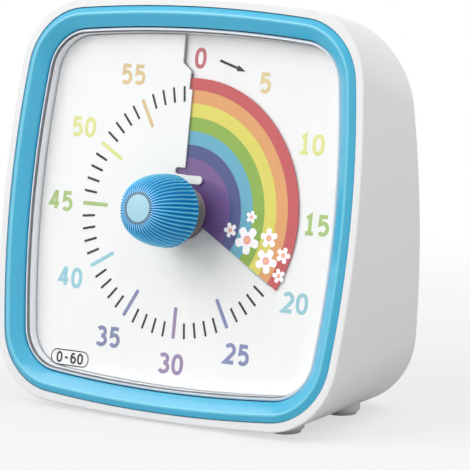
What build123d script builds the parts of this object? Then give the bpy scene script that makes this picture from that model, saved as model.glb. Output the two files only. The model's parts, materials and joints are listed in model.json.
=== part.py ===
from build123d import *
import math
import os

# Visual countdown timer: a wedge-shaped desk case, a ribbed knob, and a film disc that winds out
# of a slit in the dial card. Millimetres, +Z up, the dial faces -Y.
# Every size below can be set by itself. Face parts are drawn flat with the dial centre at the
# origin, +X right, +Y up the dial and +Z towards the viewer. Rear parts are drawn flat in the same
# way on the outside of the rear wall. Both are then stood up in place.

# ---- stance ----
lean_deg = 9.7              # the dial leans back by this much
rear_lean_deg = 2.85        # the rear wall leans forward by this much
rear_distance = 46.1        # dial centre to the rear wall, level with the rear wall's middle
floor_gap = 0.8             # table to the lowest line of the case

# ---- case ----
rim_width_x = 2.9           # white rim outside the bezel, at the sides
rim_width_y = 2.7           # and at top and bottom
rim_bulge_x = 6.0
rim_bulge_y = 3.1
rim_corner_r = 24.7
rim_level = 7.3             # the rim stands this far in front of the dial
face_rise = 0.55            # middle of the face outlines above the dial centre
side_taper = 6.6            # each side draws in by this much towards the rear
top_drop = 6.7              # the rear wall is this much lower than the rim
rear_bulge_x = 4.9
rear_bulge_y = 1.3
rear_top_corner_r = 32.8
rear_bottom_corner_r = 26.2
rear_edge_r = 8.0
rim_edge_r = 0.5            # softened outer edge of the rim
case_wall = 2.2
mouth_depth = 2.8           # pocket in the rim that takes the bezel
mouth_gap = 0.2
ledge_width = 0.8           # step inside the mouth that the bezel rests on

# ---- bezel ----
bezel_half_width = 67.1
bezel_half_height = 65.8
bezel_bulge_x = 5.6
bezel_bulge_y = 3.9
bezel_corner_r = 22.0
bezel_width = 6.5
bezel_crest = 8.5           # levels in front of the dial
bezel_lip = 5.6
bezel_edge_level = 7.0      # outer edge, from where the outer face rises to the crest
bezel_crest_inset = 2.3
bezel_crest_r = 0.9
bezel_edge_r = 0.5
bezel_lip_thickness = 3.2
bezel_skirt_inset = 2.9
bezel_skirt_width = 1.9
bezel_post_r = 1.9
bezel_post_gap = 0.25       # post to the flange and frame around it

# ---- lens ----
lens_gap = 0.3
lens_front = 5.2
lens_thickness = 1.5
lens_wall = 1.4
lens_flange_width = 1.5
lens_flange_thickness = 1.2
lens_edge_r = 0.9

# ---- dial card and time disc ----
pitch = 1.5                 # rise of the card and of the disc in one turn
card_thickness = 0.5
disc_thickness = 0.4
card_gap = 0.5              # card edge to the lens wall
disc_r = 43.8
disc_end_deg = 120.0        # leading edge of the disc at rest: 20 minutes
disc_split_deg = 0.6
slit_inner_x = 1.2          # the slit runs left of the twelve o'clock line by these amounts
slit_outer_x = 2.4
slit_shoulder_x = 5.8
slit_top_x = 7.0
slit_step = 3.8             # steps of the slit: inside the disc's edge
slit_jag = 2.1              # and beyond the disc's edge
slit_shoulder = 4.8
slit_width = 0.2
keeper_web = 0.75           # card between its centre hole and the tab that keeps the disc down
keeper_width = 2.7
keeper_reach = 6.0
notch_rise = 2.6            # tab to the notch above it
notch_width = 2.2
notch_reach = 5.0

# ---- dial frame ----
frame_front = -1.0
frame_thickness = 3.5
frame_inset = 3.9           # frame edge inside the bezel outline
recess_gap = 1.6            # round the disc, and behind its lowest point
recess_floor_gap = 0.5
seat_overlap = 3.0          # the card's seat starts this far inside the recess
seat_depth = 6.0
seat_gap = 0.2              # lower half of the seat beyond the card
slit_sweep_deg = 12.0       # the lower half starts this far before twelve o'clock
boss_inset_x = 23.1         # screw bosses, in from the bezel's outline
boss_inset_top = 22.35
boss_inset_bottom = 29.25
boss_r = 4.0
boss_level = -15.0          # rear end of the frame's screw bosses

# ---- spindle, hub and knob ----
shaft_r = 2.5
shaft_flat = 2.0            # centre to each flat
shaft_end_gap = 5.3         # shaft's end behind the knob's front
fit_gap = 0.05              # running fit, radial
hub_r = 4.0
hub_front = 2.0
hub_back = -3.4
hub_flange_r = 8.2          # flange that the disc is bonded to
hub_flange_front = 0.7
hub_flange_back = -1.7
hub_gap = 0.5               # flange to the card and the frame around it
pivot_r = 1.2
shaft_collar_r = 4.4
shaft_collar_level = -8.6
shaft_collar_thickness = 1.0
knob_back = 9.5
knob_front = 26.8
knob_r = 11.9
knob_rim_height = 1.6
knob_cap_r = 4.6
knob_cap_depth = 0.8
knob_ribs = 48
rib_depth = 0.55
knob_boss_r = 5.0
knob_pocket_r = 9.6
knob_pocket_depth = 8.0
collar_r = 8.5
collar_hole_r = 5.6         # hole in the lens
collar_gap = 0.4            # collar to knob
collar_back = 2.9

# ---- movement ----
train_gap = 0.75            # idler wheel to the movement's wall
movement_corner_r = 6.0
movement_wall = 1.5
movement_depth = 15.0
gear_module = 0.5
pressure_deg = 20.0
backlash = 0.12
centre_teeth = 48
idler_pinion_teeth = 12
idler_wheel_teeth = 50
motor_teeth = 10
gear_width = 1.4
centre_wheel_level = -8.6   # front face of the centre wheel
idler_wheel_level = -13.0   # front face of the idler's wheel
idler_direction_deg = 10.5
motor_turn_deg = 69.0       # from the first line of centres to the second
idler_hub_r = 1.9
arbor_r = 1.0
motor_r = 9.5
motor_front = -6.3
motor_length = 6.0
motor_shaft_r = 0.75
motor_neck_r = 2.2
motor_neck = 0.3
motor_post_r = 3.0
motor_bore_end = 3.0        # end of the shaft's bore behind the motor's front
spring_thickness = 0.35
spring_r = 6.5
clip_front_gap = 1.1        # centre wheel to the clip
clip_r = 4.2
wheel_holes = 5             # lightening holes of the centre wheel
wheel_hole_r = 1.9
wheel_hole_place = 8.6
clip_thickness = 0.6
cam_r = 5.2
cam_nose_r = 7.0
cam_nose_width = 2.4
cam_level = -6.3            # front face of the cam
cam_thickness = 1.1
leaf_gap = 0.3
leaf_roof_gap = 0.2
leaf_tip_y = 2.0
leaf_length = 17.0
leaf_thickness = 0.3
leaf_height = 2.0
leaf_block = 5.0
tab_r = 3.6
tab_thickness = 2.0
tab_offset = 3.0            # tab's screw outside the movement's wall
movement_screw_r = 1.1
movement_head_r = 2.2
movement_head = 1.2

# ---- rear wall ----
bay_y = -31.0
bay_side_gap = 0.9          # cell to the bay's walls
bay_floor_gap = 0.7
bay_wall = 1.6
door_margin_x = 3.75        # door beyond the bay
door_margin_y = 4.0
door_thickness = 1.8
door_gap = 0.3
door_corner_r = 3.0
lug_width = 6.0             # lugs that the door tilts on
lug_x = 22.0
lug_reach = 1.2
lug_skin = 0.8              # rear wall left outside the lugs
latch_width = 12.0
latch_thickness = 0.9
latch_depth = 1.8
latch_rise = 0.6            # latch above the bay's roof
grip_inset = 3.4            # finger groove below the door's top edge
grip_height = 1.2
grip_depth = 0.5
cell_gap = 0.5              # cell to the closed door
cell_r = 7.1
cell_length = 48.6
cell_button_r = 2.7
cell_button_length = 1.4
contact_thickness = 0.4
contact_size = 11.0
dimple_r = 2.4
dimple_length = 1.3         # raised middle of the plus contact
spring_length = 4.4         # contact spring pressed by the cell
spring_wire_r = 0.4
spring_turns = 3.0
spring_end_r = 4.4
grille_y = 27.0
grille_hole_r = 1.1
grille_pitch = 4.2
grille_rings = 2
buzzer_r = 14.0
buzzer_thickness = 4.2
buzzer_ring = 1.2
buzzer_gap = 0.15
buzzer_lip = 2.5
buzzer_dish = 0.8
switch_y = -6.0
switch_travel = 4.0
switch_end_gap = 0.5        # grip to the ends of its slot
switch_side_gap = 0.4
switch_knob_width = 6.0
switch_knob_height = 3.8
switch_knob_reach = 1.0
switch_groove = 0.6
switch_groove_pitch = 1.6
switch_stem_width = 3.0
switch_stem_height = 2.1
switch_channel_height = 2.4
switch_channel_depth = 1.5
switch_body_width = 14.0
switch_body_height = 6.4
switch_body_depth = 3.6
board_width = 46.0
board_height = 20.0
board_thickness = 1.2
board_boss_r = 2.2
board_boss_inset = 3.5
board_screw_r = 1.0
chip_width = 7.0
chip_height = 5.0
chip_thickness = 1.2
chip_offset = (9.0, 3.0)    # from the switch
crystal_length = 8.0
crystal_width = 3.0
crystal_thickness = 2.2
crystal_offset = (-11.0, 4.0)
capacitor_r = 2.0
capacitor_height = 4.5
capacitor_offset = (-2.0, 2.0)
pillar_r = 5.2
pillar_bore_r = 3.6
pillar_floor = 2.0

# ---- fasteners and feet ----
case_screw_r = 1.45
case_screw_head_r = 2.9
case_screw_head = 2.0
case_screw_length = 9.0
small_screw_r = 0.8
small_head_r = 1.7
small_head = 1.0
small_screw_length = 6.0
screw_gap = 0.15            # radial clearance round a screw
bore_spare = 0.8            # a screw's hole is this much deeper than the screw
foot_inset_x = 28.0
foot_front_inset = 14.0
foot_rear_inset = 17.0
foot_r = 5.0
foot_height = 1.4
foot_pad_r = 6.0
foot_pad_height = 2.5       # round pads of the case over the feet
foot_pad_core = 5.0

# ---- frames that the parts are stood up in ----
lean = math.radians(lean_deg)
rear_lean = math.radians(rear_lean_deg)
rim_half_width = bezel_half_width + rim_width_x
rim_half_height = bezel_half_height + rim_width_y
rear_half_width = rim_half_width - side_taper
rim_rise = rim_level * math.sin(lean)          # the rim is higher than the dial's own plane
dial_height = floor_gap + (rim_half_height - face_rise) * math.cos(lean) - rim_rise
rear_height = dial_height + (rim_half_height + face_rise) * math.cos(lean) + rim_rise - top_drop - floor_gap
face = Plane(origin=(0, 0, dial_height), x_dir=(1, 0, 0), z_dir=(0, -math.cos(lean), math.sin(lean)))
rear_mid = floor_gap + rear_height / 2
rear = Plane(
    origin=(0, rear_distance, rear_mid),
    x_dir=(-1, 0, 0),
    z_dir=(0, math.cos(rear_lean), math.sin(rear_lean)),
)


# ---- shared shapes ----
def bulged(half_width, half_height, bulge_x, bulge_y, top_r, bottom_r, inset=0.0):
    """Face of four bulged sides and rounded corners, moved inwards by inset."""
    x = half_width - bulge_x
    y = half_height - bulge_y
    side_r = (y * y + bulge_x * bulge_x) / (2 * bulge_x)
    cap_r = (x * x + bulge_y * bulge_y) / (2 * bulge_y)
    # the inset sides keep their centres, so the corner is where the smaller circles cross
    side_x = half_width - side_r
    cap_y = half_height - cap_r
    between = math.hypot(side_x, cap_y)
    along = ((side_r - inset) ** 2 - (cap_r - inset) ** 2 + between ** 2) / (2 * between)
    across = math.sqrt((side_r - inset) ** 2 - along ** 2)
    x = side_x - along * side_x / between - across * cap_y / between
    y = along * cap_y / between - across * side_x / between
    w = half_width - inset
    h = half_height - inset
    outline = make_face(Wire([
        ThreePointArc((x, -y), (w, 0), (x, y)),
        ThreePointArc((x, y), (0, h), (-x, y)),
        ThreePointArc((-x, y), (-w, 0), (-x, -y)),
        ThreePointArc((-x, -y), (0, -h), (x, -y)),
    ]))
    outline = fillet(outline.vertices().sort_by(Axis.Y)[2:], top_r - inset)
    lower = [v for v in outline.vertices() if abs(abs(v.X) - x) < 1e-4 and abs(v.Y + y) < 1e-4]
    return fillet(lower, bottom_r - inset).faces()[0]


def face_outline(inset=0.0):
    """Outline of the bezel, moved inwards by inset, centred on the face."""
    flat = bulged(bezel_half_width, bezel_half_height, bezel_bulge_x, bezel_bulge_y,
                  bezel_corner_r, bezel_corner_r, inset)
    return Pos(0, face_rise, 0) * flat


def slab(outline, back, front):
    """Solid between two levels, from a flat outline."""
    return extrude(Pos(0, 0, back) * outline, front - back)


def disc(radius, back, front, x=0.0, y=0.0):
    """Round solid between two levels."""
    return Pos(x, y, (back + front) / 2) * Cylinder(radius, front - back)


def helicoid(inner_r, outer_r, level, thickness, start_deg, end_deg):
    """Part of a turn of a ribbon that rises clockwise; level is its back face at twelve o'clock."""
    turn = (end_deg - start_deg) / 360
    inner = Edge.make_helix(pitch, pitch * turn, inner_r, lefthand=True)
    outer = Edge.make_helix(pitch, pitch * turn, outer_r, lefthand=True)
    ribbon = Solid.extrude(Face.make_surface_from_curves(inner, outer), Vector(0, 0, thickness))
    return Pos(0, 0, level + pitch * start_deg / 360) * Rot(0, 0, 90 - start_deg) * ribbon


def double_flat(radius, flat, back, front):
    """Shaft with two flats."""
    return disc(radius, back, front) & slab(Rectangle(2 * flat, 4 * radius), back, front)


def gear(teeth, back, front, bore_r):
    """Involute spur gear with a tooth on +X."""
    pitch_r = gear_module * teeth / 2
    base_r = pitch_r * math.cos(math.radians(pressure_deg))
    tip_r = pitch_r + gear_module
    root_r = pitch_r - 1.25 * gear_module

    def involute(radius):
        angle = math.acos(min(1.0, base_r / radius))
        return math.tan(angle) - angle

    half_pitch = math.pi / (2 * teeth) - backlash / (2 * pitch_r)
    start_r = max(base_r, root_r)
    flank = []
    for share in (0.0, 0.5, 1.0):
        radius = start_r + (tip_r - start_r) * share
        flank.append((radius, half_pitch + involute(pitch_r) - involute(radius)))
    outline = []
    for tooth in range(teeth):
        middle = 2 * math.pi * tooth / teeth
        points = [(root_r, -flank[0][1])] + [(r, -a) for r, a in flank]
        points += [(r, a) for r, a in reversed(flank)] + [(root_r, flank[0][1])]
        if root_r >= base_r:
            points = points[1:-1]
        outline += [(r * math.cos(middle + a), r * math.sin(middle + a)) for r, a in points]
    wheel = slab(make_face(Polyline(*outline, close=True)), back, front)
    return wheel - disc(bore_r, back, front)


def screw(shank_r, head_r, head, length):
    """Pan-head screw along +Z, its head under the origin."""
    body = disc(shank_r, 0, length) + disc(head_r, -head, 0)
    rounded = fillet(body.faces().sort_by(Axis.Z)[0].edges(), head * 0.4)
    slot_size = head_r * 0.34
    cross = Box(head_r * 1.3, slot_size, head) + Box(slot_size, head_r * 1.3, head)
    return rounded - Pos(0, 0, -head) * cross


def level_edges(shape, level):
    """Edges of a flat-drawn part that lie at one level."""
    return shape.edges().filter_by_position(Axis.Z, level - 0.01, level + 0.01)


def corner_points(inset):
    """Points on the face's diagonals, inset from the bezel outline."""
    arcs = face_outline(inset).outer_wire().edges().filter_by(GeomType.CIRCLE)
    small = sorted(arcs, key=lambda e: e.radius)[:4]
    return [tuple(arc @ 0.5)[:2] for arc in small]


def stand(shape, plane):
    """Stand a flat-drawn part up in its plane."""
    return plane.location * shape


# ---- levels worked out from the sizes ----
card_back = -pitch / 2 - card_thickness        # back of the card just clockwise of the slit
disc_back = card_back + card_thickness / 2 + pitch / 2 - disc_thickness / 2
recess_r = disc_r + recess_gap
centre_hole_r = hub_flange_r + hub_gap          # through the card and the frame
keeper_y = centre_hole_r + keeper_web + keeper_width / 2
notch_y = keeper_y + notch_rise
recess_floor = disc_back - pitch - recess_floor_gap
slit_step_y = disc_r - slit_step
slit_jag_y = disc_r + slit_jag
slit_shoulder_y = disc_r + slit_shoulder
frame_back = frame_front - frame_thickness
lens_back = lens_front - lens_thickness
lens_inset = bezel_width + lens_gap
card_inset = lens_inset + lens_wall + card_gap
shaft_front = knob_front - shaft_end_gap
movement_front = frame_back
movement_back = movement_front - movement_depth
cover_back = movement_back - movement_wall
idler_distance = gear_module * (centre_teeth + idler_pinion_teeth) / 2
motor_distance = gear_module * (idler_wheel_teeth + motor_teeth) / 2
idler_wheel_tip = gear_module * (idler_wheel_teeth / 2 + 1)
idler_angle = math.radians(idler_direction_deg)
motor_angle = math.radians(idler_direction_deg + motor_turn_deg)
idler_x = idler_distance * math.cos(idler_angle)
idler_y = idler_distance * math.sin(idler_angle)
motor_x = idler_x + motor_distance * math.cos(motor_angle)
motor_y = idler_y + motor_distance * math.sin(motor_angle)
movement_size = 2 * (idler_x + idler_wheel_tip + train_gap + movement_wall)
tab_reach = movement_size / 2 + tab_offset
clip_front = centre_wheel_level - gear_width - clip_front_gap
leaf_x = -cam_nose_r - leaf_gap
leaf_level = movement_front - movement_wall - leaf_roof_gap - leaf_height / 2
contacts_length = spring_length + dimple_length + 2 * contact_thickness
bay_length = cell_length + cell_button_length + contacts_length
bay_height = 2 * (cell_r + bay_side_gap)
bay_depth = door_thickness + cell_gap + 2 * cell_r + bay_floor_gap
door_length = bay_length + 2 * door_margin_x
door_height = bay_height + 2 * door_margin_y
cell_level = -door_thickness - cell_gap - cell_r
cell_left = -bay_length / 2 + contact_thickness + spring_length
bay_top = bay_y + bay_height / 2
door_bottom = bay_y - door_height / 2 + door_gap
switch_slot_width = switch_knob_width + switch_travel + 2 * switch_end_gap
switch_slot_height = switch_knob_height + 2 * switch_side_gap
board_level = -case_wall - switch_body_depth   # rear face of the circuit board
board_boss_x = board_width / 2 - board_boss_inset
board_boss_y = switch_y - board_height / 2 + board_boss_inset
board_bosses = [(-board_boss_x, board_boss_y), (board_boss_x, board_boss_y)]
post_points = corner_points(bezel_skirt_inset + bezel_post_r)
boss_x = bezel_half_width - boss_inset_x
boss_top_y = bezel_half_height + face_rise - boss_inset_top
boss_bottom_y = face_rise - bezel_half_height + boss_inset_bottom
boss_points = [(i * boss_x, y) for i in (-1, 1) for y in (boss_bottom_y, boss_top_y)]


# ---- case ----
def case_outline(inset):
    """Rim outline in the face plane."""
    flat = bulged(rim_half_width, rim_half_height, rim_bulge_x, rim_bulge_y,
                  rim_corner_r, rim_corner_r, inset)
    return Pos(0, face_rise, 0) * flat


def rear_outline(inset):
    """Rear outline in the rear wall's plane."""
    return bulged(rear_half_width, rear_height / 2 / math.cos(rear_lean), rear_bulge_x, rear_bulge_y,
                  rear_top_corner_r, rear_bottom_corner_r, inset)


def wedge(front_face, front_level, rear_face, rear_level, edge_r):
    """Loft from the face plane back to the rear wall, with the rear edge rounded."""
    front = stand(Pos(0, 0, front_level) * front_face, face)
    back = stand(Pos(0, 0, rear_level) * rear_face, rear)
    body = Solid.make_loft([front.outer_wire(), back.outer_wire()], ruled=True)
    back_face = body.faces().sort_by(Axis(rear.origin, rear.z_dir))[-1]
    return body.fillet(edge_r, back_face.edges())


def case_pillars():
    """Screw pillars from the rear wall to the frame's bosses."""
    reach = 2 * rear_distance
    pillars = []
    bores = []
    for x, y in boss_points:
        pillars.append(stand(disc(pillar_r, boss_level - reach, boss_level, x, y), face))
        bores.append(stand(disc(pillar_bore_r, boss_level - reach, boss_level - pillar_floor, x, y), face))
        bores.append(stand(disc(case_screw_r + screw_gap, boss_level - reach, boss_level, x, y), face))
    return pillars, bores


def grille_points():
    """Hexagonal pattern of sound holes."""
    points = [(0.0, 0.0)]
    for ring in range(1, grille_rings + 1):
        for k in range(6 * ring):
            angle = math.radians(60 * k / ring)
            side, step = divmod(k, ring)
            a = math.radians(60 * side)
            b = math.radians(60 * (side + 2))
            x = grille_pitch * (ring * math.cos(a) + step * math.cos(b))
            y = grille_pitch * (ring * math.sin(a) + step * math.sin(b))
            points.append((x, y))
    return points


def make_case():
    """White shell: sides, rear wall, battery bay, pillars, and bosses for board, buzzer and feet."""
    outer = wedge(case_outline(0), rim_level, rear_outline(0), 0, rear_edge_r)
    front = outer.faces().sort_by(Axis(face.origin, face.z_dir))[-1]
    outer = outer.fillet(rim_edge_r, front.edges())
    cavity = wedge(face_outline(ledge_width), rim_level, rear_outline(case_wall), -case_wall,
                   rear_edge_r - case_wall)
    mouth = stand(slab(face_outline(-mouth_gap), rim_level - mouth_depth, rim_level + 1), face)
    shell = outer - cavity - mouth
    pillars, bores = case_pillars()
    for pillar in pillars:
        shell += pillar & outer
    # battery bay, a tub open to the rear
    tub = Pos(0, bay_y, -(bay_depth + bay_wall) / 2) * Box(
        bay_length + 2 * bay_wall, bay_height + 2 * bay_wall, bay_depth + bay_wall)
    shell += stand(tub, rear)
    # ring that holds the buzzer, and bosses for the circuit board
    buzzer_back = -case_wall - buzzer_thickness
    ring = disc(buzzer_r + buzzer_ring, buzzer_back, -case_wall + 0.5, 0, grille_y)
    ring -= disc(buzzer_r, buzzer_back, -case_wall, 0, grille_y)
    shell += stand(ring, rear)
    for x, y in board_bosses:
        shell += stand(disc(board_boss_r, board_level, -case_wall + 0.5, x, y), rear)
    # pads over the feet
    for x, y in foot_points:
        shell += disc(foot_pad_r, foot_height, foot_height + foot_pad_core, x, y) & outer
        shell += disc(foot_pad_r, foot_height, foot_height + foot_pad_height, x, y)
    # cuts from the rear
    for bore in bores:
        shell -= bore
    bay = Pos(0, bay_y, -bay_depth / 2 + 1) * Box(bay_length, bay_height, bay_depth + 2)
    shell -= stand(bay, rear)
    shell -= stand(door_recess(), rear)
    for x, y in grille_points():
        shell -= stand(disc(grille_hole_r, -case_wall - 1, 1, x, y + grille_y), rear)
    slot = Pos(0, switch_y, 0) * Box(switch_slot_width, switch_slot_height, 4 * case_wall)
    shell -= stand(slot, rear)
    for x, y in board_bosses:
        shell -= stand(disc(board_screw_r - 0.2, board_level - 1, -case_wall, x, y), rear)
    return shell


def door_recess():
    """Recess for the door, with the lug pockets and the latch pocket."""
    plate = Rectangle(door_length, door_height)
    recess = Pos(0, bay_y, 0) * slab(fillet(plate.vertices(), door_corner_r), -door_thickness, 1.0)
    depth = latch_depth + 2 * door_gap
    latch = Pos(0, bay_top + bay_wall, -door_thickness - depth / 2) * Box(
        latch_width + 4 * door_gap, 2 * bay_wall, depth)
    recess += latch
    pocket = Rectangle(lug_width + 2 * door_gap, 2 * (lug_reach + 2 * door_gap))
    for x in (-lug_x, lug_x):
        recess += Pos(x, door_bottom, 0) * slab(pocket, -2 * case_wall, -lug_skin)
    return recess


# ---- feet ----
front_floor_y = -rim_level * math.cos(lean) - (rim_half_height - face_rise) * math.sin(lean)
foot_x = rim_half_width - foot_inset_x
foot_points = [(i * foot_x, y) for i in (-1, 1)
               for y in (front_floor_y + foot_front_inset, rear_distance - foot_rear_inset)]


def make_feet():
    """Four rubber feet under the pads of the case."""
    feet = []
    for x, y in foot_points:
        foot = disc(foot_r, 0, foot_height, x, y)
        feet.append(fillet(foot.faces().sort_by(Axis.Z)[0].edges(), 0.4))
    return feet


# ---- bezel, lens ----
def make_bezel():
    """Blue ring that slopes in to the lens, with a skirt and four screw posts behind."""
    seat = rim_level - mouth_depth
    edge = (Pos(0, 0, bezel_edge_level) * face_outline(0)).outer_wire()
    crest = (Pos(0, 0, bezel_crest) * face_outline(bezel_crest_inset)).outer_wire()
    lip = (Pos(0, 0, bezel_lip) * face_outline(bezel_width)).outer_wire()
    ring = slab(face_outline(0), seat, bezel_edge_level) + Solid.make_loft([edge, crest], ruled=True)
    ring -= Solid.make_loft([lip, crest], ruled=True)
    ring = ring.fillet(bezel_crest_r, level_edges(ring, bezel_crest))
    ring = ring.fillet(bezel_edge_r, level_edges(ring, bezel_edge_level))
    ring += slab(face_outline(bezel_skirt_inset), frame_front, seat)
    ring -= slab(face_outline(bezel_width), frame_front, bezel_lip)
    ring -= slab(face_outline(bezel_skirt_inset + bezel_skirt_width), frame_front,
                 bezel_lip - bezel_lip_thickness)
    for x, y in post_points:
        ring += disc(bezel_post_r, frame_front, bezel_lip - bezel_lip_thickness + 0.5, x, y)
    for x, y in post_points:
        ring -= disc(small_screw_r, frame_front, frame_back + small_screw_length + bore_spare, x, y)
    return ring


def make_lens():
    """Clear tray over the dial, with a flange that the bezel traps and a hole for the collar."""
    tray = slab(face_outline(lens_inset), frame_front, lens_front)
    tray = fillet(tray.faces().sort_by(Axis.Z)[-1].edges(), lens_edge_r)
    flange_front = frame_front + lens_flange_thickness
    tray += slab(face_outline(lens_inset - lens_flange_width), frame_front, flange_front)
    tray -= slab(face_outline(lens_inset + lens_wall), frame_front, lens_back)
    tray -= disc(collar_hole_r, lens_back, lens_front)
    for x, y in post_points:
        tray -= disc(bezel_post_r + bezel_post_gap, frame_front, flange_front, x, y)
    return tray


# ---- dial ----
def slit_side(reach):
    """Region left of the slit, in the upper half of the dial."""
    points = [(-slit_inner_x, 0), (-slit_inner_x, slit_step_y), (-slit_outer_x, slit_step_y),
              (-slit_outer_x, slit_jag_y), (-slit_shoulder_x, slit_shoulder_y),
              (-slit_top_x, reach), (-reach, reach), (-reach, 0)]
    return make_face(Polyline(*points, close=True))


def round_ended(left, right, y, width):
    """Flat strip with a half-round right end."""
    strip = Pos((left + right - width / 2) / 2, y) * Rectangle(right - width / 2 - left, width)
    return strip + Pos(right - width / 2, y) * Circle(width / 2)


def make_card():
    """Dial card: one rising turn, cut to the lens, that steps down at the slit."""
    reach = rim_half_width * 1.5
    low, high = card_back - pitch, card_back + 3 * pitch
    early = helicoid(centre_hole_r, reach, card_back, card_thickness, -30, 180)
    early -= slab(Pos(slit_width, 0) * slit_side(reach), low, high)
    late = helicoid(centre_hole_r, reach, card_back, card_thickness, 180, 360)
    late -= slab(Pos(reach, 0) * Rectangle(2 * reach, 2 * reach), low, high)
    late_top = Pos(-reach / 2, reach / 2) * Rectangle(reach, reach)
    late -= slab(late_top, low, high) - slab(slit_side(reach), low, high)
    # notch in the upper side of the slit, and below it the tab that reaches over the disc
    notch = Rot(0, 0, 180) * round_ended(0, notch_reach, -notch_y, notch_width)
    late -= slab(notch, low, high)
    over = helicoid(centre_hole_r, keeper_y + keeper_reach, card_back, card_thickness, 300, 420)
    late += over & slab(round_ended(-slit_outer_x, keeper_reach, keeper_y, keeper_width), low, high)
    card = early + late
    return card & slab(face_outline(card_inset), low, high)


def make_disc():
    """Printed film disc: one rising turn from the hub's flange, split at its leading edge."""
    start = disc_end_deg - 360 + disc_split_deg
    return helicoid(hub_flange_r, disc_r, disc_back, disc_thickness, start, disc_end_deg)


def make_hub():
    """Flanged sleeve that carries the disc and slides on the shaft's flats."""
    hub = disc(hub_r, hub_back, hub_front) + disc(hub_flange_r, hub_flange_back, hub_flange_front)
    return hub - double_flat(shaft_r + fit_gap, shaft_flat + fit_gap, hub_back, hub_front)


def make_frame():
    """Carrier behind the card: rising seat, disc recess, bosses for case and movement screws."""
    frame = slab(face_outline(frame_inset), frame_back, frame_front)
    reach = rim_half_width * 1.5
    seat = slab(face_outline(card_inset), frame_front, card_back + pitch)
    rising = helicoid(recess_r - seat_overlap, reach, card_back - seat_depth, seat_depth, 0, 360)
    frame += seat & rising
    low = helicoid(recess_r - seat_overlap, reach, card_back, seat_depth, -slit_sweep_deg, 180) & slab(
        face_outline(card_inset - seat_gap), card_back - pitch, 2 * pitch)
    frame -= low
    frame -= disc(recess_r, recess_floor, 4 * pitch)
    frame -= disc(centre_hole_r, frame_back, 4 * pitch)
    for x, y in boss_points:
        frame += disc(boss_r, boss_level, frame_back, x, y)
        frame -= disc(case_screw_r, boss_level, boss_level + case_screw_length, x, y)
    for x, y in post_points:
        frame -= disc(small_screw_r + screw_gap, frame_back, 4 * pitch, x, y)
    for x, y in movement_tabs():
        frame -= disc(movement_screw_r, frame_back, recess_floor - 0.4, x, y)
    return frame


# ---- spindle ----
def make_shaft():
    """Steel shaft: flats in front for hub and knob, a collar for the clutch, a rear pivot."""
    front = double_flat(shaft_r, shaft_flat, frame_back, shaft_front)
    middle = disc(shaft_r, idler_wheel_level + 0.8, frame_back)
    pivot = disc(pivot_r, cover_back, idler_wheel_level + 0.8)
    collar = disc(shaft_collar_r, shaft_collar_level, shaft_collar_level + shaft_collar_thickness)
    return front + middle + pivot + collar


def make_cam():
    """Cam with one nose that works the zero contact."""
    cam = disc(cam_r, cam_level - cam_thickness, cam_level)
    nose = Pos(-cam_nose_r / 2, 0, cam_level - cam_thickness / 2) * Box(
        cam_nose_r, cam_nose_width, cam_thickness)
    cam = cam + (nose & disc(cam_nose_r, cam_level - cam_thickness, cam_level))
    return Rot(0, 0, -disc_end_deg) * (cam - disc(shaft_r, cam_level - cam_thickness, cam_level))


def make_clutch_spring():
    """Cupped spring washer that presses the centre wheel against the shaft's collar."""
    wheel_back = centre_wheel_level - gear_width
    rise = clip_front_gap
    section = Polyline((shaft_r + fit_gap, wheel_back - rise), (spring_r, wheel_back - spring_thickness),
                       (spring_r, wheel_back), (shaft_r + fit_gap, wheel_back - rise + spring_thickness),
                       close=True)
    return revolve(Plane.XZ * make_face(section), Axis.Z)


def make_clip():
    """Retaining ring on the shaft behind the clutch spring."""
    ring = disc(clip_r, clip_front - clip_thickness, clip_front)
    ring -= disc(shaft_r, clip_front - clip_thickness, clip_front)
    mouth = Pos(0, -clip_r, clip_front - clip_thickness / 2) * Box(
        shaft_r, 2 * (clip_r - shaft_r) + 2, 2 * clip_thickness)
    return ring - mouth


def make_centre_wheel():
    """Centre wheel of the train, a tooth on the line to the idler."""
    wheel = gear(centre_teeth, centre_wheel_level - gear_width, centre_wheel_level, shaft_r + fit_gap)
    for k in range(wheel_holes):
        hole = Rot(0, 0, 360 * k / wheel_holes) * Pos(wheel_hole_place, 0) * Circle(wheel_hole_r)
        wheel -= slab(hole, centre_wheel_level - gear_width, centre_wheel_level)
    return Rot(0, 0, idler_direction_deg) * wheel


def make_idler():
    """Wheel and pinion on one hub, in mesh with the centre wheel and the motor pinion."""
    pinion = gear(idler_pinion_teeth, idler_wheel_level, centre_wheel_level + 0.3, arbor_r + fit_gap)
    pinion = Rot(0, 0, idler_direction_deg + 180 + 180 / idler_pinion_teeth) * pinion
    wheel = gear(idler_wheel_teeth, idler_wheel_level - gear_width, idler_wheel_level, arbor_r + fit_gap)
    wheel = Rot(0, 0, idler_direction_deg + motor_turn_deg) * wheel
    hub = disc(idler_hub_r, movement_back + 0.4, idler_wheel_level - gear_width)
    hub -= disc(arbor_r + fit_gap, movement_back + 0.4, idler_wheel_level - gear_width)
    return Pos(idler_x, idler_y) * (pinion + wheel + hub)


def make_motor():
    """Geared step motor: a round can with two lugs and a neck for its shaft."""
    can = disc(motor_r, motor_front - motor_length, motor_front)
    can = fillet(can.faces().sort_by(Axis.Z)[0].edges(), 0.6)
    neck_back = motor_front - motor_length - motor_neck
    neck = disc(motor_neck_r, neck_back, motor_front - motor_length)
    bore = disc(motor_shaft_r + fit_gap, neck_back, motor_front - motor_bore_end)
    post = disc(motor_post_r, motor_front, movement_front - movement_wall)
    return Pos(motor_x, motor_y) * (can + neck + post - bore)


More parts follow.
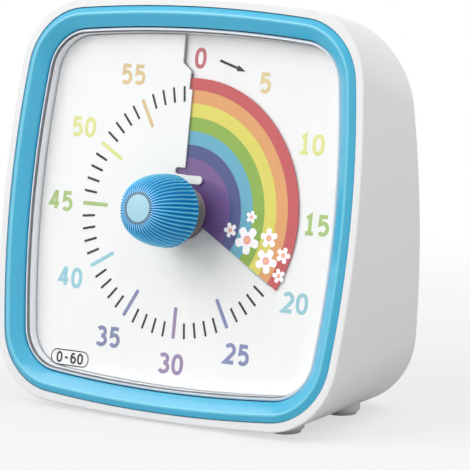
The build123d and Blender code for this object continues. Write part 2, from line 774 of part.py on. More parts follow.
def make_motor_pinion():
    """Output shaft of the motor with its pinion."""
    front = idler_wheel_level + 0.1
    back = idler_wheel_level - gear_width - 0.2
    pinion = gear(motor_teeth, back, front, motor_shaft_r / 2)
    pinion = Rot(0, 0, idler_direction_deg + motor_turn_deg + 180 + 180 / motor_teeth) * pinion
    return Pos(motor_x, motor_y) * (pinion + disc(motor_shaft_r, back, motor_front - motor_bore_end - 0.5))


def make_arbor():
    """Steel pin that the idler turns on."""
    return disc(arbor_r, movement_back, movement_front - movement_wall, idler_x, idler_y)


def movement_outline(inset=0.0):
    """Rounded square of the movement."""
    size = movement_size - 2 * inset
    return fillet(Rectangle(size, size).vertices(), movement_corner_r - inset)


def movement_tabs():
    """Places of the two screw tabs."""
    return [(-tab_reach, 0.0), (tab_reach, 0.0)]


def make_movement_case():
    """Tray of the movement, open to the rear, with two screw tabs."""
    tray = slab(movement_outline(), movement_back, movement_front)
    tray -= slab(movement_outline(movement_wall), movement_back, movement_front - movement_wall)
    for x, y in movement_tabs():
        tab = disc(tab_r, movement_front - tab_thickness, movement_front, x, y)
        tab += Pos(x - x / abs(x) * tab_r / 2, 0, movement_front - tab_thickness / 2) * Box(
            tab_r, 2 * tab_r, tab_thickness)
        tray += tab - slab(movement_outline(movement_wall), movement_back, movement_front)
        tray -= disc(movement_screw_r + screw_gap, movement_front - tab_thickness, movement_front, x, y)
    return tray - disc(shaft_r + fit_gap, movement_front - movement_wall, movement_front)


def make_movement_cover():
    """Rear cover of the movement, with the bearing for the shaft's pivot."""
    cover = slab(movement_outline(), cover_back, movement_back)
    cover -= disc(pivot_r + fit_gap, cover_back, movement_back)
    return cover


def make_movement_screws():
    """Screws through the movement's tabs into the frame."""
    level = movement_front - tab_thickness
    shape = screw(movement_screw_r, movement_head_r, movement_head, recess_floor - 0.5 - level)
    return [Pos(x, y, level) * shape for x, y in movement_tabs()]


def make_contact_leaf():
    """Springy contact that the cam touches when the disc is wound in."""
    return Pos(leaf_x - leaf_thickness / 2, leaf_tip_y - leaf_length / 2, leaf_level) * Box(
        leaf_thickness, leaf_length, leaf_height)


def make_contact_block():
    """Moulded block that grips the contact leaf."""
    top = movement_front - movement_wall
    height = top - leaf_level + leaf_height / 2
    return Pos(leaf_x - leaf_thickness - leaf_block / 2, leaf_tip_y - leaf_length + leaf_block / 2,
               top - height / 2) * Box(leaf_block, leaf_block, height)


# ---- knob and collar ----
def make_collar():
    """Dark bush in the lens that the shaft turns in."""
    front = knob_back - collar_gap
    collar = disc(collar_r, lens_front, front) + disc(collar_hole_r - 0.1, collar_back + 0.4, lens_front)
    collar = chamfer(collar.faces().sort_by(Axis.Z)[-1].edges(), 0.5)
    return collar - disc(shaft_r + fit_gap, collar_back, front)


def knob_profile(radius):
    """Half section of the domed knob."""
    shoulder = knob_back + knob_rim_height
    rise = knob_front - shoulder
    side = Line((radius, knob_back), (radius, shoulder))
    dome = Spline((radius, shoulder), (radius * 0.93, shoulder + rise * 0.44),
                  (radius * 0.72, shoulder + rise * 0.83), (knob_cap_r, knob_front),
                  tangents=((0, 1), (-1, 0.12)))
    lines = [Line((0, knob_front), (0, knob_back)), Line((0, knob_back), (radius, knob_back)), side, dome,
             Line((knob_cap_r, knob_front), (0, knob_front))]
    return Plane.XZ * make_face(Wire(lines))


def make_knob():
    """Ribbed dome with a pocket behind, a boss on the shaft and a seat for the cap."""
    knob = revolve(knob_profile(knob_r), Axis.Z)
    core = revolve(knob_profile(knob_r - rib_depth), Axis.Z)
    width = 2 * math.pi * knob_r / knob_ribs
    groove = Polyline((0, 0), (knob_r + 1, -width * 0.36), (knob_r + 1, width * 0.36), close=True)
    cutter = slab(make_face(groove), knob_back, knob_front)
    grooves = [Rot(0, 0, 360 * k / knob_ribs) * cutter for k in range(knob_ribs)]
    ribs = knob - Compound(children=[g for g in grooves])
    keep = disc(knob_cap_r + 0.3, knob_back, knob_front) + core
    knob = ribs + (keep & knob)
    pocket = disc(knob_pocket_r, knob_back, knob_back + knob_pocket_depth)
    pocket -= disc(knob_boss_r, knob_back, knob_back + knob_pocket_depth)
    knob -= pocket
    knob -= double_flat(shaft_r, shaft_flat, knob_back, shaft_front)
    return knob - disc(knob_cap_r, knob_front - knob_cap_depth, knob_front)


def make_knob_cap():
    """Plain disc let into the front of the knob."""
    cap = disc(knob_cap_r, knob_front - knob_cap_depth, knob_front)
    return cap


# ---- rear parts ----
def make_door():
    """Battery door with two lugs below, a latch tongue above and a finger groove."""
    plate = Rectangle(door_length - 2 * door_gap, door_height - 2 * door_gap)
    door = Pos(0, bay_y, 0) * slab(fillet(plate.vertices(), door_corner_r - door_gap), -door_thickness, 0)
    door += Pos(0, bay_top + latch_rise, -door_thickness - latch_depth / 2) * Box(
        latch_width, latch_thickness, latch_depth)
    lug = Rectangle(lug_width, 2 * lug_reach)
    for x in (-lug_x, lug_x):
        door += Pos(x, door_bottom, 0) * slab(lug, -door_thickness, -lug_skin - 0.1)
    grip = Pos(0, bay_y + door_height / 2 - grip_inset, 0) * Box(latch_width, grip_height, 2 * grip_depth)
    return door - grip


def make_cell():
    """AA cell lying across the bay."""
    body = Cylinder(cell_r, cell_length)
    body = fillet(body.edges().filter_by(GeomType.CIRCLE), 0.5)
    body += Pos(0, 0, cell_length / 2 + cell_button_length / 2) * Cylinder(cell_button_r, cell_button_length)
    return Pos(cell_left + cell_length / 2, bay_y, cell_level) * Rot(0, 90, 0) * body


def make_plus_contact():
    """Flat nickelled plate at the cell's button end."""
    plate_x = bay_length / 2 - contact_thickness / 2
    plate = Pos(plate_x, bay_y, cell_level) * Box(contact_thickness, contact_size, contact_size)
    dimple_x = plate_x - (contact_thickness + dimple_length) / 2
    dimple = Pos(dimple_x, bay_y, cell_level) * Rot(0, 90, 0) * Cylinder(dimple_r, dimple_length)
    return plate + dimple


def make_minus_contact():
    """Nickelled plate with a coil spring that presses the cell's flat end."""
    plate_x = -bay_length / 2 + contact_thickness / 2
    plate = Pos(plate_x, bay_y, cell_level) * Box(contact_thickness, contact_size, contact_size)
    rise = spring_length - 2 * spring_wire_r
    helix = Edge.make_helix(rise / spring_turns, rise, spring_end_r)
    profile = Plane(origin=helix @ 0, z_dir=helix % 0) * Circle(spring_wire_r)
    coil = sweep(profile, path=helix, is_frenet=True)
    coil = Pos(-bay_length / 2 + contact_thickness + spring_wire_r, bay_y, cell_level) * Rot(0, 90, 0) * coil
    return plate + coil


def make_buzzer():
    """Flat round sounder behind the sound holes."""
    back = -case_wall - buzzer_thickness
    body = disc(buzzer_r - buzzer_gap, back, -case_wall, 0, grille_y)
    return body - disc(buzzer_r - buzzer_lip, -case_wall - buzzer_dish, -case_wall, 0, grille_y)


def make_board():
    """Circuit board on its bosses, with its chip, crystal and capacitor."""
    front = board_level
    back = board_level - board_thickness

    def on_board(offset, height):
        return Pos(offset[0], switch_y + offset[1], back - height / 2)

    board = Pos(0, switch_y, (front + back) / 2) * Box(board_width, board_height, board_thickness)
    for x, y in board_bosses:
        board -= disc(board_screw_r, back, front, x, y)
    board += on_board(chip_offset, chip_thickness) * Box(chip_width, chip_height, chip_thickness)
    board += on_board(crystal_offset, crystal_thickness) * Box(
        crystal_length, crystal_width, crystal_thickness)
    return board + on_board(capacitor_offset, capacitor_height) * Cylinder(capacitor_r, capacitor_height)


def make_board_screws():
    """Screws that hold the board to its bosses."""
    shape = screw(board_screw_r - 0.2, 1.8, 1.0, board_thickness + 3.0)
    return [Pos(x, y, board_level - board_thickness) * shape for x, y in board_bosses]


def make_switch_body():
    """Slide switch soldered to the rear side of the board."""
    front = -case_wall
    body = Pos(0, switch_y, (front + board_level) / 2) * Box(
        switch_body_width, switch_body_height, switch_body_depth)
    channel = Pos(0, switch_y, front) * Box(
        switch_slot_width, switch_channel_height, 2 * switch_channel_depth)
    return body - channel


def make_switch_slider():
    """Grip of the slide switch, at the quiet end of its travel."""
    x = -switch_travel / 2
    front = switch_knob_reach
    grip = Pos(x, switch_y, (front - case_wall + 0.1) / 2) * Box(
        switch_knob_width, switch_knob_height, front + case_wall - 0.1)
    for k in (-1, 0, 1):
        grip -= Pos(x + switch_groove_pitch * k, switch_y, front) * Box(
            switch_groove, switch_knob_height, switch_groove)
    stem_back = -case_wall - switch_channel_depth + 0.3
    stem_front = -case_wall + 0.2
    stem = Pos(x, switch_y, (stem_back + stem_front) / 2) * Box(
        switch_stem_width, switch_stem_height, stem_front - stem_back)
    return grip + stem


# ---- screws ----
def make_case_screws():
    """Screws from the rear, down the pillars into the frame's bosses."""
    level = boss_level - pillar_floor
    shape = screw(case_screw_r, case_screw_head_r, case_screw_head, case_screw_length)
    return [Pos(x, y, level) * shape for x, y in boss_points]


def make_frame_screws():
    """Screws through the frame's corners into the bezel posts."""
    shape = screw(small_screw_r, small_head_r, small_head, small_screw_length)
    return [Pos(x, y, frame_back) * shape for x, y in post_points]


# ---- the assembly: node name, part, plane that it stands in ----
pieces = [
    ("case_shell", make_case, Plane.XY),
    ("rubber_feet", make_feet, Plane.XY),
    ("front_bezel", make_bezel, face),
    ("lens", make_lens, face),
    ("dial_card", make_card, face),
    ("time_disc", make_disc, face),
    ("disc_hub", make_hub, face),
    ("dial_frame", make_frame, face),
    ("frame_screws", make_frame_screws, face),
    ("case_screws", make_case_screws, face),
    ("shaft", make_shaft, face),
    ("shaft_collar", make_collar, face),
    ("knob", make_knob, face),
    ("knob_cap", make_knob_cap, face),
    ("zero_cam", make_cam, face),
    ("centre_wheel", make_centre_wheel, face),
    ("clutch_spring", make_clutch_spring, face),
    ("clutch_clip", make_clip, face),
    ("idler_gear", make_idler, face),
    ("idler_arbor", make_arbor, face),
    ("motor", make_motor, face),
    ("motor_pinion", make_motor_pinion, face),
    ("movement_case", make_movement_case, face),
    ("movement_cover", make_movement_cover, face),
    ("movement_screws", make_movement_screws, face),
    ("zero_contact_leaf", make_contact_leaf, face),
    ("zero_contact_block", make_contact_block, face),
    ("battery_door", make_door, rear),
    ("battery_cell", make_cell, rear),
    ("battery_plus_contact", make_plus_contact, rear),
    ("battery_minus_contact", make_minus_contact, rear),
    ("buzzer", make_buzzer, rear),
    ("control_board", make_board, rear),
    ("board_screws", make_board_screws, rear),
    ("switch_body", make_switch_body, rear),
    ("switch_slider", make_switch_slider, rear),
]

built = {}
for name, make, plane in pieces:
    shape = make()
    solids = []
    for item in shape if isinstance(shape, list) else [shape]:
        solids += stand(item, plane).solids()
    built[name] = solids

# the origin lies on the table, under the middle of the whole timer
boxes = [solid.bounding_box() for group in built.values() for solid in group]
centre_y = (min(box.min.Y for box in boxes) + max(box.max.Y for box in boxes)) / 2
os.makedirs("parts", exist_ok=True)
for name, group in built.items():
    placed = [Pos(0, -centre_y, 0) * solid for solid in group]
    export_step(placed[0] if len(placed) == 1 else Compound(placed), "parts/" + name + ".step")

print("dial centre", 0, round(-centre_y, 4), dial_height)
print("idler at", round(idler_x, 4), round(idler_y, 4), "motor at", round(motor_x, 4), round(motor_y, 4))
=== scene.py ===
import json
import math

import bmesh
import bpy
from mathutils import Matrix, Vector


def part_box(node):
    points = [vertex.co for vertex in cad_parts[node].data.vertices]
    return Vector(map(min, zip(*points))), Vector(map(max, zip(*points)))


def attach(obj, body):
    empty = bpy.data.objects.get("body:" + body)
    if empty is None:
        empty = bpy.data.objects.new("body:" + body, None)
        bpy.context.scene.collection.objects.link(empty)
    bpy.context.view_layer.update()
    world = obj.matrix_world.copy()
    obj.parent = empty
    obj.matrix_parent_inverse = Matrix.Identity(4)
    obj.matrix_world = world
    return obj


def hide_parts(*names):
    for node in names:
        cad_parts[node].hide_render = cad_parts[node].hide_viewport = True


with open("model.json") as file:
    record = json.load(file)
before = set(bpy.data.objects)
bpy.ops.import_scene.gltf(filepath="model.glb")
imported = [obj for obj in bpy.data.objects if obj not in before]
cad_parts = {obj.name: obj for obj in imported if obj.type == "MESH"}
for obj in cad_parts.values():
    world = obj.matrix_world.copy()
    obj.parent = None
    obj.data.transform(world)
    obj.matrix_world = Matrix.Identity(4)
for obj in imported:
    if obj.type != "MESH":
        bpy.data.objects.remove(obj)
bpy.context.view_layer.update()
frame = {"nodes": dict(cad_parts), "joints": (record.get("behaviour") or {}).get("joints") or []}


# ---- case ----
# The case is one white ABS moulding: drafted sides, rear wall, battery bay, screw pillars and foot
# pads. Its tool is finely etched, so the skin is satin, with faint flow marks and a fine grain.
mm = 0.001
case_white = "f5f5f5"
case_roughness = 0.36
etch_size = 0.35            # mm across a grain of the etched skin
etch_depth = 0.004          # mm
plastic_ior = 1.53
coat_roughness = 0.12
flow_scale, handling_scale = 26.0, 140.0       # flow marks and handling wear, per metre
handling_wear, grain_wear = 0.12, 0.06          # how far they spread the roughness


def paint(code):
    """Colour of a hex code as the shaders want it."""
    shares = [int(code[i:i + 2], 16) / 255 for i in (0, 2, 4)]
    return (*[s / 12.92 if s <= 0.04045 else ((s + 0.055) / 1.055) ** 2.4 for s in shares], 1.0)


def node(tree, kind, inputs=(), **settings):
    """New node with its settings and inputs; an input is a value or another node's output."""
    made = tree.nodes.new("ShaderNode" + kind)
    for name, value in settings.items():
        setattr(made, name, value)
    for name, value in dict(inputs).items():
        if isinstance(value, bpy.types.NodeSocket):
            tree.links.new(value, made.inputs[name])
        else:
            made.inputs[name].default_value = value
    return made


def maths(tree, operation, first, second=0.0, third=0.0):
    """Output of one Math node."""
    return node(tree, "Math", {0: first, 1: second, 2: third}, operation=operation).outputs[0]


def effect(name, inputs):
    """Node group with named inputs that gives a colour, a roughness and a height."""
    group = bpy.data.node_groups.new(name, "ShaderNodeTree")
    for socket, value in inputs.items():
        kind = "NodeSocketColor" if isinstance(value, tuple) else "NodeSocketFloat"
        made = group.interface.new_socket(name=socket, in_out="INPUT", socket_type=kind)
        made.default_value = value
    for socket, kind in {"Colour": "Color", "Roughness": "Float", "Height": "Float"}.items():
        group.interface.new_socket(name=socket, in_out="OUTPUT", socket_type="NodeSocket" + kind)
    return group, group.nodes.new("NodeGroupInput").outputs


def close_effect(group, given, value, roughness, height):
    """Lead the given colour, lightened or darkened by a value, and the other two to the outputs."""
    toned = node(group, "HueSaturation", {"Value": value, "Color": given["Colour"]})
    wanted = group.nodes.new("NodeGroupOutput").inputs
    group.links.new(toned.outputs["Color"], wanted["Colour"])
    group.links.new(roughness, wanted["Roughness"])
    group.links.new(height, wanted["Height"])
    return group


def noise(tree, scale, detail, **more):
    """Value of a noise, over the object's own coordinates where no others are given."""
    if "Vector" not in more:
        more["Vector"] = node(tree, "TexCoord").outputs["Object"]
    return node(tree, "TexNoise", {"Scale": scale, "Detail": detail, **more}).outputs[0]


def build_mould_skin():
    """Skin of a moulding: flow marks in the colour, an etched or polished grain, soft handling wear."""
    group, given = effect("mould_skin", {
        "Colour": (0.8, 0.8, 0.8, 1.0), "Roughness": 0.4, "Grain Size": 0.35, "Unevenness": 0.03})
    flow = noise(group, flow_scale, 3.0, Distortion=0.4)
    handled = noise(group, handling_scale, 4.0, Roughness=0.6)
    grain = noise(group, maths(group, "DIVIDE", 1 / mm, given["Grain Size"]), 1.5)
    marked, rubbed, rough = [maths(group, "SUBTRACT", each, 0.5) for each in (flow, handled, grain)]
    value = maths(group, "MULTIPLY_ADD", marked, given["Unevenness"], 1.0)
    worn = maths(group, "MULTIPLY_ADD", rubbed, handling_wear, given["Roughness"])
    pitted = maths(group, "MULTIPLY_ADD", rough, grain_wear, worn)
    return close_effect(group, given, value, pitted, grain)


mould_skin = build_mould_skin()


def new_material(name, settings=()):
    """Material with its tree and its Principled shader, which takes the settings."""
    material = bpy.data.materials.new(name)
    material.use_nodes = True
    shader = material.node_tree.nodes["Principled BSDF"]
    for socket, value in dict(settings).items():
        shader.inputs[socket].default_value = value
    return material, material.node_tree, shader


def cover(tree, shader, group, values, depth):
    """Lead an effect's colour, roughness and height, which is depth mm deep, into the shader."""
    surface = node(tree, "Group", values, node_tree=group).outputs
    bump = node(tree, "Bump", {"Height": surface["Height"], "Distance": depth * mm})
    tree.links.new(surface["Colour"], shader.inputs["Base Color"])
    tree.links.new(surface["Roughness"], shader.inputs["Roughness"])
    tree.links.new(bump.outputs["Normal"], shader.inputs["Normal"])


def moulded(name, colour, roughness, grain=etch_size, depth=etch_depth, unevenness=0.03, coat=0.0):
    """Moulded plastic in one colour; a polished tool has a low roughness and a shallow grain."""
    material, tree, shader = new_material(name, {
        "IOR": plastic_ior, "Coat Weight": coat, "Coat Roughness": coat_roughness})
    cover(tree, shader, mould_skin, {
        "Colour": paint(colour), "Roughness": roughness, "Grain Size": grain,
        "Unevenness": unevenness}, depth)
    return material


def dress(material, *names):
    """Give CAD nodes their material."""
    for name in names:
        for place in frame["nodes"][name].material_slots:
            place.material = material


white_abs = moulded("white_abs_satin", case_white, case_roughness)
dress(white_abs, "case_shell")


# ---- feet ----
# Four round pads of pale grey rubber are glued to the pads under the case. Rubber is matt, and it
# picks up a bloom, so its colour is uneven.
foot_grey = "dcdfe1"

dress(moulded("foot_rubber", foot_grey, 0.78, grain=0.6, depth=0.012, unevenness=0.12), "rubber_feet")


# ---- movement ----
# A tray and its cover hold the train: POM wheels, a brass motor pinion, steel arbor and clutch.
# The motor is a drawn steel can. Nothing of it shows once the frame is on, but it is all there.
pom_grey, pom_natural, block_black = "8d9196", "ece9df", "232427"
can_steel, motor_brass, steel_bright = "b9bbbd", "c9a65a", "c3c5c7"
steel_spring, screw_zinc = "a9acb2", "b4b8bf"
mark_scale, mark_stretch = 900.0, 9.0           # tool marks, per metre, drawn out along one axis
metal_haze_scale = 160.0                        # dull patches, per metre
haze_dulls, haze_darkens = 0.18, 0.16
clean_value = 1.06                              # of the colour where there is no haze
metal_depth = 0.006                             # mm


def build_worked_metal():
    """Metal as it comes from the tool: fine marks along one axis, and a duller haze in patches."""
    group, given = effect("worked_metal", {
        "Colour": (0.6, 0.6, 0.6, 1.0), "Roughness": 0.3, "Marks": 0.1})
    place = node(group, "TexCoord").outputs["Object"]
    drawn = node(group, "Mapping", {"Vector": place, "Scale": (1.0, 1.0, mark_stretch)})
    marks = noise(group, mark_scale, 3.0, Vector=drawn.outputs[0])
    haze = noise(group, metal_haze_scale, 2.0)
    dull = maths(group, "MULTIPLY_ADD", haze, haze_dulls, given["Roughness"])
    scored = maths(group, "MULTIPLY_ADD", marks, given["Marks"], dull)
    value = maths(group, "MULTIPLY_ADD", haze, -haze_darkens, clean_value)
    return close_effect(group, given, value, scored, marks)


worked_metal = build_worked_metal()


def metal(name, colour, roughness, marks=0.1):
    """Bare or plated metal."""
    material, tree, shader = new_material(name, {"Metallic": 1.0})
    cover(tree, shader, worked_metal, {
        "Colour": paint(colour), "Roughness": roughness, "Marks": marks}, metal_depth)
    return material


dress(moulded("grey_pom", pom_grey, 0.42, grain=0.5, depth=0.006), "movement_case", "movement_cover")
dress(moulded("natural_pom", pom_natural, 0.34, grain=0.6), "centre_wheel", "idler_gear", "zero_cam")
dress(metal("motor_can", can_steel, 0.24, marks=0.06), "motor")
dress(metal("motor_brass", motor_brass, 0.22), "motor_pinion")
dress(metal("bright_steel", steel_bright, 0.2), "idler_arbor", "shaft", "clutch_clip")
dress(metal("spring_steel", steel_spring, 0.28), "clutch_spring", "zero_contact_leaf")
dress(metal("zinc_screws", screw_zinc, 0.32, marks=0.16),
      "movement_screws", "frame_screws", "case_screws", "board_screws")
dress(moulded("black_abs_block", block_black, 0.4), "zero_contact_block")


# ---- rear wall: sounder, board, switch, battery ----
# The sounder is pressed into its ring, and the board screws to two bosses with the alarm switch on
# it. One AA cell lies in the bay between nickelled contacts, under a door of the case's own white.
switch_black, contact_nickel = "1f2023", "cdc9c0"
mask_green, mask_dark, track_green = "1f6a43", "1c6540", "2f8a58"
track_scale = 260.0                             # per metre
sleeve_dark, sleeve_band = "26282c", "c58a3c"
band_share = 0.28                               # of the cell's length


def circuit_board():
    """Green solder mask over copper tracks."""
    material, tree, shader = new_material("solder_mask")
    place = node(tree, "TexCoord").outputs["Object"]
    tracks = node(tree, "TexBrick", {
        "Vector": place, "Scale": track_scale, "Color1": paint(mask_green), "Color2": paint(mask_dark),
        "Mortar": paint(track_green), "Mortar Size": 0.03, "Brick Width": 1.6, "Row Height": 0.5})
    cover(tree, shader, mould_skin, {
        "Colour": tracks.outputs["Color"], "Roughness": 0.3, "Grain Size": 0.5, "Unevenness": 0.1}, 0.01)
    return material


def cell_sleeve():
    """Plain shrink sleeve of the cell: dark, with a bright band at its button end."""
    material, tree, shader = new_material("cell_sleeve")
    place = node(tree, "TexCoord").outputs["Object"]
    lowest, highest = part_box("battery_cell")
    along = node(tree, "SeparateXYZ", {"Vector": place}).outputs["X"]
    share = maths(tree, "DIVIDE", maths(tree, "SUBTRACT", along, lowest.x), highest.x - lowest.x)
    colours = node(tree, "ValToRGB", {"Fac": share})
    colours.color_ramp.interpolation = "CONSTANT"
    colours.color_ramp.elements[0].color = paint(sleeve_band)
    colours.color_ramp.elements[1].position = band_share
    colours.color_ramp.elements[1].color = paint(sleeve_dark)
    cover(tree, shader, mould_skin, {
        "Colour": colours.outputs["Color"], "Roughness": 0.28, "Grain Size": 0.8,
        "Unevenness": 0.05}, 0.006)
    return material


dress(moulded("black_abs", switch_black, 0.38), "buzzer", "switch_body", "switch_slider")
dress(circuit_board(), "control_board")
dress(metal("nickel_contacts", contact_nickel, 0.22), "battery_plus_contact", "battery_minus_contact")
dress(cell_sleeve(), "battery_cell")
dress(white_abs, "battery_door")


# ---- dial frame and spindle ----
# The frame behind the card is the same white ABS from a plain tool. The disc's hub is dark POM, which
# slides well along the flats of the steel shaft; its flange shows in the hole of the card.
frame_white, hub_grey = "dfe2e4", "a19a9a"

dress(moulded("frame_abs", frame_white, 0.46, grain=0.5, depth=0.008), "dial_frame")
dress(moulded("hub_pom", hub_grey, 0.42, grain=0.6, unevenness=0.08), "disc_hub")


# ---- time disc ----
# The disc is a printed polyester film: six bands in rainbow order, and a spray of plain white
# blossoms near its leading edge. It is one rising turn, so its print follows the rise.
pitch = 1.5                 # mm of rise in one turn of the card and of the disc
disc_front = -0.05          # mm, front of the disc at twelve o'clock
outer_band_edge = 39.8      # mm from the centre, inner edge of the red band
band_width = 4.44
band_colours = ("6a4b83", "3c457c", "579fb6", "80a338", "cfc654", "d19459", "b8484d")
petal_white = "f1eef0"
blossom_pink = "e69a9c"
blossom_yellow = "ecc35e"
print_thickness = 0.02      # mm of every printed mark
slit_reach = 3.0            # mm left of twelve o'clock, past which a print lies on the risen side
print_lift = 0.01           # mm of a print over its ground; what lies on another print is higher
heart_lift, eye_lift = 0.035, 0.06
film_shine = 0.2
film_depth = 0.003          # mm of the ink's and the film's unevenness
bands_reach = 50.0          # mm from the centre, past the disc's edge
fibre_scale, mottle_scale = 1700.0, 90.0        # per metre
fibre_wear = 0.1            # how far the fibres spread the roughness
varnish_roughness = 0.1
near = 0.01                 # mm, play with which points are picked by their place
weld = 2e-6                 # m, under which points are one
petal_points = 20           # round a blossom, four to a petal
round_points = 24           # round a small circle
petal_waist, petal_shoulder = 0.5, 0.95         # of the radius, between petals and at their sides
petal_round = 0.14          # of the radius
heart_share, eye_share = 0.3, 0.12
blossom_twist = 0.7         # radians from one blossom to the next
blossoms = (                # mm right and up from the dial's centre, and radius
    (25.4, -6.9, 4.7), (33.6, -5.6, 3.3), (33.3, -12.9, 4.2), (38.6, -17.2, 2.4), (39.6, -10.6, 2.7),
    (18.6, -4.2, 2.5), (26.2, 0.6, 2.1),
)

turn = next(joint for joint in frame["joints"] if joint["name"] == "knob_turn")
dial_centre = Vector(turn["pos_m"])
dial_normal = -Vector(turn["axis"]).normalized()
dial_right = Vector((1, 0, 0))
dial_up = dial_normal.cross(dial_right)
dial_turned = Matrix((dial_right, dial_up, dial_normal)).transposed().to_4x4()
dial_place = Matrix.Translation(dial_centre) @ dial_turned


def on_dial(tree):
    """Coordinates in metres from the dial's centre: right, up and towards the viewer."""
    place = node(tree, "TexCoord").outputs["Object"]
    return node(tree, "Mapping", {
        "Vector": place, "Location": dial_centre, "Rotation": dial_place.to_euler()},
        vector_type="TEXTURE").outputs[0]


def build_print_grain():
    """Ink on film or card: slight mottle in the colour, and ink that is glossier than its ground."""
    group, given = effect("print_grain", {
        "Colour": (0.8, 0.8, 0.8, 1.0), "Roughness": 0.4, "Mottle": 0.05})
    fibre = noise(group, fibre_scale, 3.0, Roughness=0.7)
    cloud = noise(group, mottle_scale, 2.0)
    both = maths(group, "SUBTRACT", maths(group, "ADD", fibre, cloud), 1.0)
    value = maths(group, "MULTIPLY_ADD", both, given["Mottle"], 1.0)
    uneven = maths(group, "MULTIPLY_ADD", fibre, fibre_wear, given["Roughness"])
    return close_effect(group, given, value, uneven, fibre)


print_grain = build_print_grain()


def printed(name, colour, roughness=0.45, mottle=0.04, coat=0.0):
    """Flat printed colour; colour is a hex code, or a function that makes it in the material's tree."""
    material, tree, shader = new_material(name, {
        "Specular IOR Level": film_shine, "Coat Weight": coat, "Coat Roughness": varnish_roughness})
    given = colour(tree) if callable(colour) else paint(colour)
    cover(tree, shader, print_grain, {
        "Colour": given, "Roughness": roughness, "Mottle": mottle}, film_depth)
    return material


def banded(tree):
    """Rainbow bands by distance from the spindle."""
    flat = node(tree, "VectorMath", {0: on_dial(tree), 1: (1.0, 1.0, 0.0)}, operation="MULTIPLY")
    distance = node(tree, "VectorMath", {0: flat.outputs["Vector"]}, operation="LENGTH")
    share = maths(tree, "DIVIDE", distance.outputs["Value"], bands_reach * mm)
    bands = node(tree, "ValToRGB", {"Fac": share})
    ramp = bands.color_ramp
    ramp.interpolation = "CONSTANT"
    edges = [0.0] + [outer_band_edge - band_width * k for k in reversed(range(len(band_colours) - 1))]
    for count, (edge, colour) in enumerate(zip(edges, band_colours)):
        element = ramp.elements[count] if count < 2 else ramp.elements.new(edge / bands_reach)
        element.position = edge / bands_reach
        element.color = paint(colour)
    return bands.outputs["Color"]


dress(printed("disc_film", banded, 0.38, mottle=0.06, coat=0.06), "time_disc")


def pick(*objects):
    """Leave edit mode and select only these objects, the first of them active."""
    if bpy.context.mode != "OBJECT":
        bpy.ops.object.mode_set(mode="OBJECT")
    bpy.ops.object.select_all(action="DESELECT")
    for obj in reversed(objects):
        obj.select_set(True)
        bpy.context.view_layer.objects.active = obj


def edit(obj):
    """Edit mode on one object, with all its points selected."""
    pick(obj)
    bpy.ops.object.mode_set(mode="EDIT")
    bpy.ops.mesh.select_mode(type="VERT")
    bpy.ops.mesh.select_all(action="SELECT")


def choose(obj, wanted, part="verts"):
    """Select the vertices, edges or faces that a test of their middle, in mm, keeps."""
    shape = bmesh.from_edit_mesh(obj.data)
    bpy.ops.mesh.select_all(action="DESELECT")
    bpy.ops.mesh.select_mode(type=part[:4].upper())
    for item in getattr(shape, part):
        corners = [item] if part == "verts" else item.verts
        if wanted(sum((corner.co for corner in corners), Vector()) / len(corners) / mm):
            item.select_set(True)
    shape.select_flush_mode()
    bmesh.update_edit_mesh(obj.data)


def extrude(right, up, front):
    """Extrude what is selected by that much, in mm."""
    step = (right * mm, up * mm, front * mm)
    bpy.ops.mesh.extrude_region_move(TRANSFORM_OT_translate={"value": step})


def draw_in(right, up):
    """Scale what is selected about the upright axis."""
    bpy.ops.transform.resize(value=(right, up, 1), center_override=(0, 0, 0))


def shift(x, y=0.0, z=0.0):
    """Place that far right, up and to the front, in mm."""
    return Matrix.Translation((x * mm, y * mm, z * mm))


def put(obj, place):
    """Leave edit mode, and carry the mesh of an object that stands at the origin to a place."""
    pick(obj)
    obj.matrix_world = place
    bpy.ops.object.transform_apply(location=True, rotation=True, scale=True)
    return obj


def lay_print(obj, front, lift=print_lift):
    """Lay a flat print on a rising surface whose front is that high at twelve, and thicken it."""
    for vertex in obj.data.vertices:
        angle = math.degrees(math.atan2(vertex.co.x, vertex.co.y))
        if vertex.co.x < -slit_reach * mm or vertex.co.y < 0 and angle < 0:
            angle += 360
        vertex.co.z += (front + pitch * angle / 360 + lift) * mm
    pick(obj)
    bpy.ops.object.shade_flat()
    solid = obj.modifiers.new("ink", "SOLIDIFY")
    solid.thickness = print_thickness * mm
    solid.offset = 1.0
    bpy.ops.object.modifier_apply(modifier=solid.name)
    put(obj, dial_place)


def join(objects, name):
    """Join like prints into one piece."""
    pick(*objects)
    bpy.ops.object.join()
    objects[0].name = name
    return objects[0]


def finish_piece(obj, material, body, slot, *stands_for):
    """Material, body and the CAD nodes that a piece stands for; the slot is not used."""
    obj.data.materials.clear()
    obj.data.materials.append(material)
    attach(obj, body)
    if stands_for:
        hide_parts(*stands_for)


def disc(points, radius):
    """Flat disc about the origin."""
    bpy.ops.mesh.primitive_circle_add(vertices=points, radius=radius * mm, fill_type="NGON",
                                      location=(0, 0, 0))
    return bpy.context.object


def petals(x, y, radius, twist):
    """Five round petals from one disc: every fourth point is drawn in, the others are rounded."""
    flower = disc(petal_points, radius)
    edit(flower)

    def step(point):
        return round(math.atan2(point.x, point.y) / math.tau * petal_points) % 4

    for steps, share in (((0,), petal_waist), ((1, 3), petal_shoulder)):
        choose(flower, lambda p: step(p) in steps)
        draw_in(share, share)
    choose(flower, lambda p: step(p) != 0)
    bpy.ops.mesh.bevel(offset=radius * petal_round * mm, segments=4, affect="VERTICES")
    return put(flower, shift(x, y) @ Matrix.Rotation(twist, 4, "Z"))


